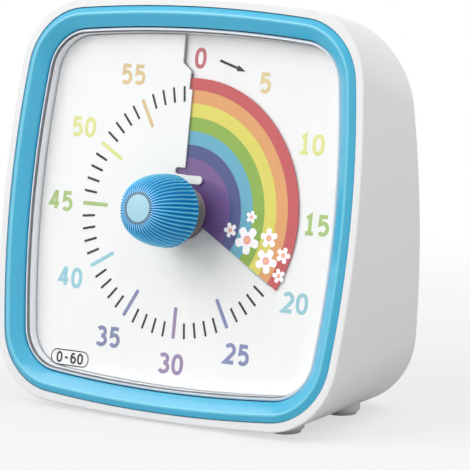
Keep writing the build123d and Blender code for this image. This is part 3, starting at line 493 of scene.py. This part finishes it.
pick()
flowers, hearts, eyes = [], [], []
for count, (x, y, radius) in enumerate(blossoms):
    flowers.append(petals(x, y, radius, blossom_twist * count))
    hearts.append(put(disc(round_points, radius * heart_share), shift(x, y)))
    eyes.append(put(disc(round_points, radius * eye_share), shift(x, y)))
for parts, name, ink, lift in (
        (flowers, "disc_blossoms", printed("petal_ink", petal_white, 0.42, mottle=0.03), print_lift),
        (hearts, "disc_blossom_hearts", printed("heart_ink", blossom_pink, 0.42), heart_lift),
        (eyes, "disc_blossom_eyes", printed("eye_ink", blossom_yellow, 0.42), eye_lift)):
    shape = join(parts, name)
    lay_print(shape, disc_front, lift)
    finish_piece(shape, ink, "disc", "film_print")


# ---- dial card ----
# The dial is coated card, cut to the lens and slit at twelve o'clock, and printed with sixty minute
# marks, plain figures that count anticlockwise, an arrow and a small label with numbers only.
card_front = -0.75          # mm, front of the card at twelve o'clock
card_white = "e1e1e0"
card_shine = 0.25
card_depth = 0.006          # mm of the coating's unevenness
ink_black = "101012"
tick_outer, tick_inner = 41.2, 36.0
tick_width = 0.82
long_tick_inner = 30.9
long_tick_width = 1.3
mark_round = 0.35           # of a mark's width, at the corners of its ends
figure_radius = 50.4
figure_height, figure_width, figure_advance = 6.9, 4.6, 5.3
figure_stroke = 1.32
bow_step = 9                # degrees of a figure's bow between two points
mitre_limit = 0.35
figure_shift = {            # mm right and up, where a figure stands off the ring
    5: (0.9, 0), 10: (2.0, 0), 20: (1.6, 0), 30: (0, 1.0), 35: (-0.7, 0.4),
}
figures = {                 # minutes: colour of the figure and of its mark
    0: "b65d6a", 5: "d4bf8c", 10: "d2d587", 15: "9db86e", 20: "8bbcc5", 25: "767da6",
    30: "8c789c", 35: "747b9e", 40: "8bbdc8", 45: "9fb672", 50: "d0d286", 55: "cdb584",
}
arrow_start, arrow_tip = (7.7, 50.0), (18.0, 46.9)
arrow_width, arrow_head_width, arrow_head_length = 0.85, 2.1, 3.4
label_middle = (-40.8, -51.9)
label_width, label_height, label_line = 15.6, 5.4, 0.38
label_round = 0.46          # of its height
label_figures = "0-60"
label_figure_size = 0.54    # of the dial's figures


def card_stock():
    """White coated card with a trace of fibre."""
    material, tree, shader = new_material("card_stock", {"Specular IOR Level": card_shine})
    cover(tree, shader, print_grain, {
        "Colour": paint(card_white), "Roughness": 0.5, "Mottle": 0.02}, card_depth)
    return material


def flat_bar(width, height, right=0.0):
    """Flat bar of that size in mm, in edit mode, its middle that far right of the origin."""
    bpy.ops.mesh.primitive_plane_add(size=mm, location=(0, 0, 0))
    made = put(bpy.context.object, shift(right) @ Matrix.Diagonal((width, height, 1, 1)))
    edit(made)
    return made


def minute_mark(minute, inner, width):
    """Bar with softened ends along a radius, at that minute."""
    length = tick_outer - inner
    bar = flat_bar(width, length)
    bpy.ops.mesh.bevel(offset=width * mark_round * mm, segments=3, affect="VERTICES")
    return put(bar, Matrix.Rotation(-math.radians(6 * minute), 4, "Z") @ shift(0, inner + length / 2))


def bow(x, y, across, upright, start, end, power=1.0):
    """Points along part of an oval, angles in degrees anticlockwise from the right."""
    count = max(2, round(abs(end - start) / bow_step))
    angles = [math.radians(start + (end - start) * k / count) for k in range(count + 1)]

    def swell(share):
        return math.copysign(abs(share) ** power, share)

    return [(x + across * swell(math.cos(a)), y + upright * swell(math.sin(a))) for a in angles]


def figure_strokes():
    """Middle lines of the plain figures 0 to 6 and the dash, in mm about each figure's middle."""
    a, b = (figure_width - figure_stroke) / 2, (figure_height - figure_stroke) / 2
    upper, lower = 0.47 * b, 0.53 * b
    return {
        "0": [bow(0, 0, a, b, 90, 450, 0.86)],
        "1": [[(-0.62 * a, 0.66 * b), (0.16 * a, b - 0.02), (0.16 * a, -b)],
              [(-0.8 * a, -b), (1.0 * a, -b)]],
        "2": [bow(-0.02, b - a, a * 0.98, a, 150, -28) + [(-a, -b), (a * 1.02, -b)]],
        "3": [bow(-0.2, b - upper, a * 0.92, upper, 145, -90),
              bow(-0.2, lower - b, a * 1.12, lower, 90, -145)],
        "4": [[(0.42 * a, -b), (0.42 * a, b), (0.18 * a, b), (-a, -0.36 * b), (1.12 * a, -0.36 * b)]],
        "5": [[(0.86 * a, b), (-0.72 * a, b), (-0.82 * a, 0.12 * b)]
              + bow(-0.12, -0.36 * b, a, 0.64 * b, 128, -142)],
        "6": [bow(0.1, 0.1 * b, a, 0.9 * b, 62, 180) + bow(0.0, -0.38 * b, a, 0.62 * b, 180, 540)],
        "-": [[(-0.7 * a, 0), (0.7 * a, 0)]],
    }


def add(name, data):
    """New object in the scene."""
    made = bpy.data.objects.new(name, data)
    bpy.context.scene.collection.objects.link(made)
    return made


def brush(points, width, closed):
    """Flat band of that width along a line of points, mitred at its corners."""
    made = bmesh.new()
    sides = []
    last = len(points) - 1
    for count, point in enumerate(points):
        before = Vector(points[count - 1 if count or closed else 0])
        after = Vector(points[(count + 1) % (last + 1) if count < last or closed else last])
        here = Vector(point)
        way_in = (here - before).normalized() if before != here else (after - here).normalized()
        way_out = (after - here).normalized() if after != here else way_in
        along = (way_in + way_out).normalized()
        across = Vector((-along.y, along.x))
        mitre = width / 2 / max(mitre_limit, across.dot(Vector((-way_out.y, way_out.x))))
        sides.append([made.verts.new((*(here + across * mitre * sign) * mm, 0)) for sign in (1, -1)])
    if closed:
        sides.append(sides[0])
    for (left, right), (next_left, next_right) in zip(sides, sides[1:]):
        made.faces.new((left, right, next_right, next_left))
    mesh = bpy.data.meshes.new("band")
    made.to_mesh(mesh)
    made.free()
    return add("band", mesh)


def figure(text, x, y, size=1.0):
    """Plain figures side by side, their middle at x, y."""
    bands = []
    for place, letter in enumerate(text):
        left = (place - (len(text) - 1) / 2) * figure_advance
        for line in figure_strokes()[letter]:
            closed = math.dist(line[0], line[-1]) < near
            points = [((px + left) * size, py * size) for px, py in (line[:-1] if closed else line)]
            bands.append(brush(points, figure_stroke * size, closed))
    return put(join(bands, "figure_" + text), shift(x, y))


def arrow():
    """Slim arrow: a bar, with the head extruded from its end and drawn to a point."""
    start, tip = Vector(arrow_start), Vector(arrow_tip)
    shoulder = (tip - start).length - arrow_head_length
    made = flat_bar(shoulder, arrow_width, shoulder / 2)
    choose(made, lambda p: p.x > shoulder - near, "edges")
    extrude(near, 0, 0)
    draw_in(1, arrow_head_width / arrow_width)
    extrude(arrow_head_length, 0, 0)
    bpy.ops.mesh.merge(type="CENTER")
    heading = math.atan2(tip.y - start.y, tip.x - start.x)
    return put(made, shift(*start) @ Matrix.Rotation(heading, 4, "Z"))


def label_outline():
    """Rounded outline of the label: a bar with round ends, inset and opened."""
    made = flat_bar(label_width, label_height)
    bpy.ops.mesh.bevel(offset=label_height * label_round * mm, segments=10, affect="VERTICES")
    bpy.ops.mesh.select_all(action="SELECT")
    bpy.ops.mesh.inset(thickness=label_line * mm)
    bpy.ops.mesh.delete(type="FACE")
    return put(made, shift(*label_middle))


dress(card_stock(), "dial_card")
minute_marks = [minute_mark(m, tick_inner, tick_width) for m in range(60) if m % 5]
label_text = figure(label_figures, *label_middle, label_figure_size)
black_prints = join([*minute_marks, arrow(), label_outline(), label_text], "card_black_print")
lay_print(black_prints, card_front)
finish_piece(black_prints, printed("black_ink", ink_black, 0.4), "case", "dial_print")
for minute, colour in figures.items():
    turned = math.radians(6 * minute)
    right, up = figure_shift.get(minute, (0, 0))
    x, y = figure_radius * math.sin(turned) + right, figure_radius * math.cos(turned) + up
    long_mark = minute_mark(minute, long_tick_inner, long_tick_width)
    shape = join([figure(str(minute), x, y), long_mark], "card_figure_%02d" % minute)
    lay_print(shape, card_front)
    finish_piece(shape, printed("ink_%02d" % minute, colour, 0.42), "case", "dial_print")


# ---- lens ----
# The lens is a clear polystyrene tray: a polished window with a rounded edge, a wall whose drawn
# sides are satin, and a flange that the bezel traps. The satin is a pale near-white, painted light
# that stands in for the glow of the clear wall and the highlight on the rounded edge. It is notched
# for the bezel's screw posts.
bulge_x, bulge_y = 5.6, 3.9         # mm that the bezel's outline bulges at the sides, and at top and foot
outline_corner_r = 22.0
side_steps, corner_steps = 28, 20   # faces along each side and round each corner
lens_section = (                    # mm in from the bezel's outline, and level in front of the dial
    (8.2, 3.7), (8.2, -1.0), (5.3, -1.0), (5.3, 0.2), (6.8, 0.2), (6.8, 5.2), (8.2, 5.2),
)
lens_rounding = {5: 0.9}            # mm at the front edge
window_back, window_front = 3.7, 5.2
collar_hole_r = 5.6
post_r = 1.9
post_inset = 4.8                    # mm from the outline to the posts' middles
notch_play = 0.05
# pale satin of the drawn sides: partly painted light, for the clear wall's glow and its edge's highlight
satin_painted_light_tint = "f5f7fb"
styrene_tint = (0.985, 0.992, 0.995, 1)
styrene_ior, styrene_shine = 1.36, 0.12
polish_scale, polish_haze = 60.0, 0.03      # polishing marks, per metre
styrene_shade = 0.06                        # share of the light that it holds back


def dial_extent(name):
    """Lowest and highest corner of a CAD node in the dial's own directions, in mm."""
    flat = [dial_place.inverted() @ v.co / mm for v in frame["nodes"][name].data.vertices]
    low = Vector([min(p[i] for p in flat) for i in range(3)])
    return low, Vector([max(p[i] for p in flat) for i in range(3)])


def draw_section(name, points):
    """Filled section, drawn by extruding one vertex from point to point; points are (x, z) in mm."""
    pick()
    made = flat_bar(1, 1)
    made.name = name
    bpy.ops.mesh.merge(type="CENTER")
    bpy.ops.transform.translate(value=(points[0][0] * mm, 0, points[0][1] * mm))
    for (x, z), (next_x, next_z) in zip(points, points[1:]):
        extrude(next_x - x, 0, next_z - z)
    bpy.ops.mesh.select_all(action="SELECT")
    bpy.ops.mesh.edge_face_add()
    return made


def round_corner(made, x, z, size, segments=6):
    """Round one corner of a drawn section."""
    choose(made, lambda p: abs(p.x - x) < near and abs(p.z - z) < near)
    bpy.ops.mesh.bevel(offset=size * mm, segments=segments, affect="VERTICES")


def open_section():
    """Leave only the section's outline, selected, ready to spin."""
    bpy.ops.mesh.select_all(action="SELECT")
    bpy.ops.mesh.delete(type="ONLY_FACE")
    bpy.ops.mesh.select_all(action="SELECT")


def bezel_outline():
    """Eight arcs of the bulged outline, anticlockwise from the right: centre, turn and steps. With
    them the angle where they start, and the first arc's centre and radius."""
    low, high = dial_extent("front_bezel")
    half_width, half_height = (high.x - low.x) / 2, (high.y - low.y) / 2
    middle_y = (high.y + low.y) / 2
    x = half_width - bulge_x
    y = half_height - bulge_y
    side_r = (y * y + bulge_x ** 2) / (2 * bulge_x)
    cap_r = (x * x + bulge_y ** 2) / (2 * bulge_y)
    side_x, cap_y = half_width - side_r, half_height - cap_r
    # the corner's centre is where circles smaller by the corner's radius cross
    far_side, far_cap = side_r - outline_corner_r, cap_r - outline_corner_r
    between = math.hypot(side_x, cap_y)
    along = (far_side ** 2 - far_cap ** 2 + between ** 2) / (2 * between)
    across = math.sqrt(far_side ** 2 - along ** 2)
    corner_x = side_x - along * side_x / between - across * cap_y / between
    corner_y = along * cap_y / between - across * side_x / between
    rise = math.atan2(corner_y, corner_x - side_x)
    steep = math.atan2(corner_y - cap_y, corner_x)
    half = [((side_x, 0), 2 * rise, side_steps),
            ((corner_x, corner_y), steep - rise, corner_steps),
            ((0, cap_y), math.pi - 2 * steep, side_steps),
            ((-corner_x, corner_y), steep - rise, corner_steps)]
    arcs = half + [((-cx, -cy), turned, steps) for (cx, cy), turned, steps in half]
    arcs = [((cx, cy + middle_y), turned, steps) for (cx, cy), turned, steps in arcs]
    return arcs, rise, (side_x, middle_y), side_r


def weld_points():
    """Merge the points that meet, and leave all selected."""
    bpy.ops.mesh.select_all(action="SELECT")
    bpy.ops.mesh.remove_doubles(threshold=weld)
    bpy.ops.mesh.select_all(action="SELECT")


def tidy_shell():
    """Merge what meets, turn the faces outwards and leave edit mode."""
    weld_points()
    bpy.ops.mesh.normals_make_consistent(inside=False)
    bpy.ops.object.mode_set(mode="OBJECT")


def spin(steps, turned, x=0.0, y=0.0):
    """Spin what is selected about an upright axis; the operator takes a clockwise angle."""
    bpy.ops.mesh.spin(steps=steps, dupli=False, angle=-turned, use_auto_merge=False,
                      use_normal_flip=False, center=(x * mm, y * mm, 0), axis=(0, 0, 1))


def spun_ring(name, section, rounding, tray=False):
    """Draw a section at the right side's lower end and spin it along the eight arcs."""
    arcs, rise, start, reach = bezel_outline()
    ring = draw_section(name, [(reach - inset, level) for inset, level in section])
    for corner, size in rounding.items():
        inset, level = section[corner]
        round_corner(ring, reach - inset, level, size)
    open_section()
    if tray:        # the window is left open between the section's two ends
        (inset, low), (_, high) = section[0], section[-1]
        choose(ring, lambda p: abs(p.x - reach + inset) < near and low < p.z < high, "edges")
        bpy.ops.mesh.delete(type="EDGE")
        bpy.ops.mesh.select_all(action="SELECT")
    bpy.ops.transform.rotate(value=rise, orient_axis="Z", center_override=(0, 0, 0))
    bpy.ops.transform.translate(value=(start[0] * mm, start[1] * mm, 0))
    for (x, y), turned, steps in arcs:
        spin(steps, turned, x, y)
    weld_points()
    return ring


def post_places():
    """Middles of the four screw posts, one in each corner, and the way outwards there."""
    arcs, angle = bezel_outline()[:2]
    angle -= arcs[0][1]
    for (x, y), turned, steps in arcs:
        if steps == corner_steps:
            away = outline_corner_r - post_inset
            out = Vector((math.cos(angle + turned / 2), math.sin(angle + turned / 2), 0))
            yield Vector((x, y, 0)) + out * away, out
        angle += turned


def choose_rims(made, low, high):
    """Select the open edges between two levels."""
    shape = bmesh.from_edit_mesh(made.data)
    bpy.ops.mesh.select_mode(type="EDGE")
    bpy.ops.mesh.select_all(action="DESELECT")
    for edge in shape.edges:
        if len(edge.link_faces) < 2 and all(low < v.co.z / mm < high for v in edge.verts):
            edge.select_set(True)
    bmesh.update_edit_mesh(made.data)


def second_finish(obj, material, wanted):
    """Another material on the faces that a test of their middle on the dial, in mm, keeps."""
    obj.data.materials.append(material)
    for face in obj.data.polygons:
        if wanted(dial_place.inverted() @ face.center / mm):
            face.material_index = len(obj.data.materials) - 1


def make_lens():
    """Spin the tray's section, fill the window round the collar's hole, and notch the flange."""
    made = spun_ring("lens_tray", lens_section, lens_rounding, True)
    columns = 4 * (side_steps + corner_steps)
    for level in (window_back, window_front):
        bpy.ops.mesh.primitive_circle_add(vertices=columns, radius=collar_hole_r * mm,
                                          location=(0, 0, level * mm))
        choose_rims(made, level - near, level + near)
        bpy.ops.mesh.fill()
    choose_rims(made, window_back - near, window_front + near)
    bpy.ops.mesh.bridge_edge_loops()
    (edge, flange_front), (wall, _) = lens_section[3:5]
    depth = wall - edge - notch_play
    for middle, out in post_places():
        choose(made, lambda p: p.z < flange_front + near and (p.xy - middle.xy).length < post_r)
        bpy.ops.transform.translate(value=-out * depth * mm)
    tidy_shell()
    return made


def clear_styrene():
    """Clear, slightly cool plastic with faint polishing marks, which hardly shades the dial."""
    material, tree, shader = new_material("clear_styrene", {
        "Base Color": styrene_tint, "IOR": styrene_ior, "Specular IOR Level": styrene_shine,
        "Transmission Weight": 1.0})
    roughness = maths(tree, "MULTIPLY", noise(tree, polish_scale, 2.0), polish_haze)
    tree.links.new(roughness, shader.inputs["Roughness"])
    shadow = node(tree, "LightPath").outputs["Is Shadow Ray"]
    alpha = maths(tree, "MULTIPLY_ADD", shadow, styrene_shade - 1.0, 1.0)
    tree.links.new(alpha, shader.inputs["Alpha"])
    return material


def on_satin(point):
    """On the wall, the flange or the rounded edge, and on neither side of the window: where the pale
    satin of painted light goes.
    """
    off_window = point.z < window_front - near / 2 and abs(point.z - window_back) > 5 * near
    return off_window and point.xy.length > collar_hole_r + 1


def set_on_dial(obj, sharp_deg=35.0):
    """Carry a piece to the dial, and shade it smooth but for its real corners."""
    put(obj, dial_place)
    bpy.ops.object.shade_smooth_by_angle(angle=math.radians(sharp_deg))


lens = make_lens()
set_on_dial(lens)
finish_piece(lens, clear_styrene(), "case", "clear_styrene", "lens")
# the drawn sides are satin; their near-white is painted light, for the clear wall's glow and the edge's
# highlight
satin_styrene = moulded("satin_styrene", satin_painted_light_tint, 0.5, grain=0.4, depth=0.006, unevenness=0.04)
second_finish(lens, satin_styrene, on_satin)


# ---- shaft collar ----
# A dark bush of glass-filled nylon sits in the lens and steadies the shaft. It is moulded, and its
# glass fibres dull the surface.
nylon_grey = "878080"

collar_nylon = moulded("collar_nylon", nylon_grey, 0.5, grain=0.25, depth=0.012, unevenness=0.08)
dress(collar_nylon, "shaft_collar")


# ---- bezel ----
# The blue bezel is a polished ABS ring. A wide face slopes in to the lens and a narrow one falls to
# the parting line; the crest between them is a paler blue, a painted highlight. The frame screws to
# its four posts.
bezel_blue = "42bfe6"
bezel_section = (           # mm in from the outline, and level in front of the dial
    (0.0, 4.5), (0.0, 7.0), (2.3, 8.5), (6.5, 5.6), (6.5, 2.4), (4.8, 2.4), (4.8, -1.0), (2.9, -1.0),
    (2.9, 4.5),
)
bezel_rounding = {1: 0.35, 2: 0.55, 3: 0.3}     # mm at the outer edge, the crest and the lip
post_bore_r, post_bore_depth = 0.8, 3.3
post_back, post_front = -1.0, 2.9
# paler blue of the painted highlight along the crest
bezel_highlight_blue = "6ed2ef"
crest_highlight_level = 8.1           # mm in front of the dial, where the thin crest and its painted highlight start
bezel_grain, bezel_depth = 0.8, 0.002           # mm
bezel_coat = 0.3


def make_bezel():
    """Ring with its four screw posts."""
    ring = spun_ring("bezel", bezel_section, bezel_rounding)
    tidy_shell()
    return join([ring, *[make_post(middle) for middle, _ in post_places()]], "bezel")


def pillar(points, radius, length):
    """Round pillar about the origin, in edit mode."""
    bpy.ops.mesh.primitive_cylinder_add(vertices=points, radius=radius * mm, depth=length * mm,
                                        location=(0, 0, 0))
    made = bpy.context.object
    edit(made)
    return made


def make_post(middle):
    """Screw post: a round pillar with its bore sunk from behind."""
    length = post_front - post_back
    post = pillar(round_points, post_r, length)
    choose(post, lambda p: p.z < near - length / 2, "faces")
    bpy.ops.mesh.inset(thickness=(post_r - post_bore_r) * mm)
    extrude(0, 0, post_bore_depth)
    return put(post, shift(middle.x, middle.y, post_back + length / 2))


bezel = make_bezel()
set_on_dial(bezel)
bezel_abs = moulded("bezel_abs", bezel_blue, 0.2, bezel_grain, bezel_depth, coat=bezel_coat)
# the crest's faces take the paler blue: a painted highlight along the crest
bezel_edge = moulded("bezel_edge", bezel_highlight_blue, 0.16, bezel_grain, bezel_depth, coat=bezel_coat)
finish_piece(bezel, bezel_abs, "case", "blue_abs", "front_bezel")
second_finish(bezel, bezel_edge, lambda p: p.z > crest_highlight_level)


# ---- knob ----
# The knob is a polished ABS dome with forty-eight hollow flutes that run from its rim to a flat
# front. It is cored out behind, and its boss presses on the shaft. A plain disc closes the front.
knob_flutes = 48
flute_steps = 6
flute_depth = 0.062         # share of the radius
flute_shape = (0.0, 0.55, 0.9, 1.0, 0.9, 0.55)
knob_r = 11.9
knob_back, knob_front = 9.5, 26.68
rim_height = 1.4
rear_round = (0.4, 0.35)    # mm in from the rim, and up from the rear
rim_step = 0.2              # mm of the rim's last ring below the dome
flute_start = 0.3           # mm above the rim
dome_steps = 22
dome_fullness = 0.82        # power of the dome's oval; less is fuller
cap_r = 4.6
cap_depth = 0.8
cap_points = 96
cap_play, cap_round = 0.05, 0.18
pocket_r, pocket_depth, boss_r, bore_r = 9.6, 8.0, 5.0, 2.5
bore_depth = 12.0
# The knob's colour carries painted light: paler painted highlights on the crests, the rear lip and the
# front of the dome, and deeper blue painted shade in the flutes and at their ends.
knob_blue = "00b2f2"
# deeper blue of the painted shade in the middle of each flute
groove_shade_blue = "006bba"
# darkest blue of the painted shade at the flutes' ends, by the front disc
end_shade_blue = "0f2f4d"
knob_crest_highlight_blue = "9cf0ff"
front_highlight_pale = "e2fbff"       # painted highlight, paler still, on the crests next to the front disc
front_highlight_end = 4.5        # mm out from the disc, where that painted highlight ends
cap_blue = "b2e1f2"
crest_highlight_share = 0.22          # of a flute's width, from its crest, that has the crest's painted highlight
groove_shade_start = 0.18         # of a flute's width, where its painted shade, a deeper blue, starts to come in
dark_end = 0.9              # mm of each flute that is in the shade of the front disc's edge
# how strongly that painted shade darkens the flutes' ends
end_shade_share = 0.8
lip_highlight_height = 0.55           # mm of painted highlight, a plain bright lip, at the rear edge
lip_highlight_fade = 0.6              # of the lip's height, where its painted highlight starts to fade
knob_roughness, knob_shine = 0.24, 0.25


def dome_point(share):
    """Point of the dome's section, from the rim (0) to the front's edge (1)."""
    fall = math.radians(90) * share
    span = knob_front - knob_back - rim_height
    radius = cap_r + (knob_r - cap_r) * math.cos(fall) ** dome_fullness
    return radius, knob_back + rim_height + span * math.sin(fall)


def make_knob():
    """Draw half the section, spin it round, and sink the flutes between the crests."""
    core, seat, bore_end = knob_back + pocket_depth, knob_front - cap_depth, knob_back + bore_depth
    ribbed = knob_back + rim_height + flute_start
    columns = knob_flutes * flute_steps
    section = [
        (bore_r, knob_back), (boss_r, knob_back), (boss_r, core), (pocket_r, core),
        (pocket_r, knob_back), (knob_r - rear_round[0], knob_back), (knob_r, knob_back + rear_round[1]),
        (knob_r, knob_back + rim_height - rim_step),
        *[dome_point(k / dome_steps) for k in range(dome_steps + 1)],
        (cap_r, seat), (0, seat), (0, bore_end), (bore_r, bore_end),
    ]
    made = draw_section("knob_ribbed", section)
    open_section()
    spin(columns, -math.tau)
    weld_points()

    def on_dome(point):
        """On the ribbed part of the dome, and neither in the core nor on the front disc's seat."""
        radius = math.hypot(point.x, point.y)
        past_core = point.z > core + near or radius > pocket_r + near
        past_seat = point.z > seat + near or radius > cap_r + cap_play
        return point.z > ribbed and radius > cap_r - near and past_core and past_seat

    def column(point):
        return round(math.atan2(point.y, point.x) / math.tau * columns) % flute_steps

    for count, depth in enumerate(flute_shape):
        if depth:
            choose(made, lambda p: column(p) == count and on_dome(p))
            share = 1 - flute_depth * depth
            draw_in(share, share)
    bpy.ops.mesh.select_all(action="SELECT")
    bpy.ops.mesh.delete_loose(use_verts=True, use_edges=True, use_faces=False)
    tidy_shell()
    return made


def fade(tree, value, start, end):
    """Mask that is one up to the start and nothing past the end."""
    return node(tree, "MapRange", {
        "Value": value, "From Min": start, "From Max": end, "To Min": 1.0, "To Max": 0.0},
        interpolation_type="SMOOTHSTEP").outputs[0]


def blend(tree, share, first, second):
    """Colour between two, each a hex code or another node's output."""
    first, second = [colour if isinstance(colour, bpy.types.NodeSocket) else paint(colour)
                     for colour in (first, second)]
    return node(tree, "Mix", {"Factor": share, 6: first, 7: second}, data_type="RGBA").outputs[2]


def knob_plastic():
    """Blue ABS with painted light: painted highlights on the crests and the rear lip, and painted shade
    deep in the flutes and at their ends.
    """
    material, tree, shader = new_material("knob_abs", {"Specular IOR Level": knob_shine})
    right, up, front = node(tree, "SeparateXYZ", {"Vector": on_dial(tree)}).outputs
    radius = maths(tree, "SQRT", maths(tree, "ADD", maths(tree, "MULTIPLY", right, right),
                                       maths(tree, "MULTIPLY", up, up)))
    flutes = maths(tree, "MULTIPLY", maths(tree, "ARCTAN2", up, right), knob_flutes / math.tau)
    away = maths(tree, "PINGPONG", flutes, 0.5)
    # painted highlight: the crests and the rear lip are paler, and the crests paler still next to the
    # front disc
    crest = fade(tree, away, 0.0, crest_highlight_share)
    lip_start, lip_end = [(knob_back + lip_highlight_height * part) * mm for part in (lip_highlight_fade, 1)]
    bright = maths(tree, "MAXIMUM", crest, fade(tree, front, lip_start, lip_end))
    # painted shade: a deeper blue in the middle of each flute, darker still at its end by the front disc
    groove_shade = maths(tree, "SUBTRACT", 1.0, fade(tree, away, groove_shade_start, 0.5))
    end_shade = fade(tree, radius, (cap_r + dark_end / 2) * mm, (cap_r + dark_end) * mm)
    front_highlight = fade(tree, radius, cap_r * mm, (cap_r + front_highlight_end) * mm)
    deep = blend(tree, groove_shade, knob_blue, groove_shade_blue)
    deep = blend(tree, maths(tree, "MULTIPLY", end_shade, end_shade_share), deep, end_shade_blue)
    colour = blend(tree, bright, deep, blend(tree, front_highlight, knob_crest_highlight_blue, front_highlight_pale))
    cover(tree, shader, mould_skin, {
        "Colour": colour, "Roughness": knob_roughness, "Grain Size": 0.6, "Unevenness": 0.03}, 0.002)
    return material


def make_cap():
    """Disc with a rounded edge, flush with the knob's front."""
    made = pillar(cap_points, cap_r - cap_play, cap_depth)
    made.name = "knob_front_disc"
    choose(made, lambda p: p.z > cap_depth / 2 - near, "edges")
    bpy.ops.mesh.bevel(offset=cap_round * mm, segments=4)
    tidy_shell()
    return put(made, shift(0, 0, knob_front - cap_depth / 2))


knob = make_knob()
set_on_dial(knob, 50.0)
finish_piece(knob, knob_plastic(), "spindle", "blue_abs", "knob")
cap = make_cap()
set_on_dial(cap)
cap_abs = moulded("cap_abs", cap_blue, 0.3, grain=0.6, depth=0.002)
finish_piece(cap, cap_abs, "spindle", "pale_blue_abs", "knob_cap")


# ---- floor, light and camera ----
# The timer stands on a pale seamless table in a pale room. A large soft lamp stands at the upper
# left, and a weaker one hangs over its right side.
table_size = 6.0
table_roughness = 0.7
shade_end, white_start = 0.16, 0.42            # m from the middle, where its shade goes over to white
floor_white = "e6e6e6"
floor_shade = "cfcfcf"       # what the table throws back on the timer
floor_glow = 0.62           # share of plain white in the table that the camera sees
camera_turn, camera_rise = 34.19, 8.561        # degrees from the front, and above the horizon
camera_distance = 0.8994
camera_near = 0.01
camera_lens, sensor = 212.02, 36.0
aim_right, aim_up = 15.99, -7.29               # mm from the dial's centre, as the camera sees it
lamp_target = (0, 0, 0.06)
key_lamp_place, key_lamp_size, key_lamp_power = (-0.9, -1.2, 1.2), 1.5, 20.5
top_lamp_place, top_lamp_size, top_lamp_power = (0.7, 0.2, 1.5), 1.2, 9.5
room_light = 0.43           # of the white that the camera sees, and that lights the timer

bpy.ops.mesh.primitive_plane_add(size=table_size, location=(0, 0, 0))
floor = bpy.context.object
floor.name = "table_top"
material, tree, shader = new_material("table_white", {"Roughness": table_roughness})
from_middle = node(tree, "VectorMath", {0: node(tree, "TexCoord").outputs["Object"]},
                   operation="LENGTH").outputs["Value"]
close = fade(tree, from_middle, shade_end, white_start)
seen_by = node(tree, "LightPath").outputs
direct = maths(tree, "MAXIMUM", seen_by["Is Camera Ray"], seen_by["Is Transmission Ray"])
tree.links.new(blend(tree, direct, floor_shade, floor_white), shader.inputs["Base Color"])
white = node(tree, "Emission", {"Color": (1, 1, 1, 1), "Strength": 1.0})
share = maths(tree, "MULTIPLY_ADD", close, floor_glow - 1.0, 1.0)
mixed = node(tree, "MixShader", {
    "Fac": maths(tree, "MULTIPLY", share, direct), 1: shader.outputs[0], 2: white.outputs[0]})
tree.links.new(mixed.outputs[0], tree.nodes["Material Output"].inputs["Surface"])
floor.data.materials.append(material)

turned, risen = math.radians(camera_turn), math.radians(camera_rise)
back = Vector((math.sin(turned) * math.cos(risen), -math.cos(turned) * math.cos(risen),
               math.sin(risen)))
right = Vector((math.cos(turned), math.sin(turned), 0))
up = back.cross(right)
aim = dial_centre + right * aim_right * mm + up * aim_up * mm
eye = add("camera", bpy.data.cameras.new("camera"))
facing = Matrix((right, up, back)).transposed().to_4x4()
eye.matrix_world = Matrix.Translation(aim + back * camera_distance) @ facing
eye.data.lens = camera_lens
eye.data.sensor_width = sensor
eye.data.clip_start = camera_near
bpy.context.scene.camera = eye


def soft_lamp(name, place, size, power):
    """Large square lamp that faces the timer."""
    lamp = add(name, bpy.data.lights.new(name, "AREA"))
    lamp.data.size = size
    lamp.data.energy = power
    away = Vector(place) - Vector(lamp_target)
    lamp.matrix_world = Matrix.Translation(place) @ away.to_track_quat("Z", "Y").to_matrix().to_4x4()


soft_lamp("key_lamp", key_lamp_place, key_lamp_size, key_lamp_power)
soft_lamp("top_lamp", top_lamp_place, top_lamp_size, top_lamp_power)

room = bpy.data.worlds.new("pale_room")
bpy.context.scene.world = room
room.use_nodes = True
room_tree = room.node_tree
room_shader = room_tree.nodes["Background"]
path = node(room_tree, "LightPath").outputs
mirrored = maths(room_tree, "MAXIMUM", path["Is Glossy Ray"], path["Is Transmission Ray"])
seen = maths(room_tree, "MAXIMUM", path["Is Camera Ray"], mirrored)
strength = maths(room_tree, "MULTIPLY_ADD", seen, 1.0 - room_light, room_light)
room_shader.inputs["Color"].default_value = (1, 1, 1, 1)
room_tree.links.new(strength, room_shader.inputs["Strength"])
bpy.context.scene.view_settings.view_transform = "Standard"
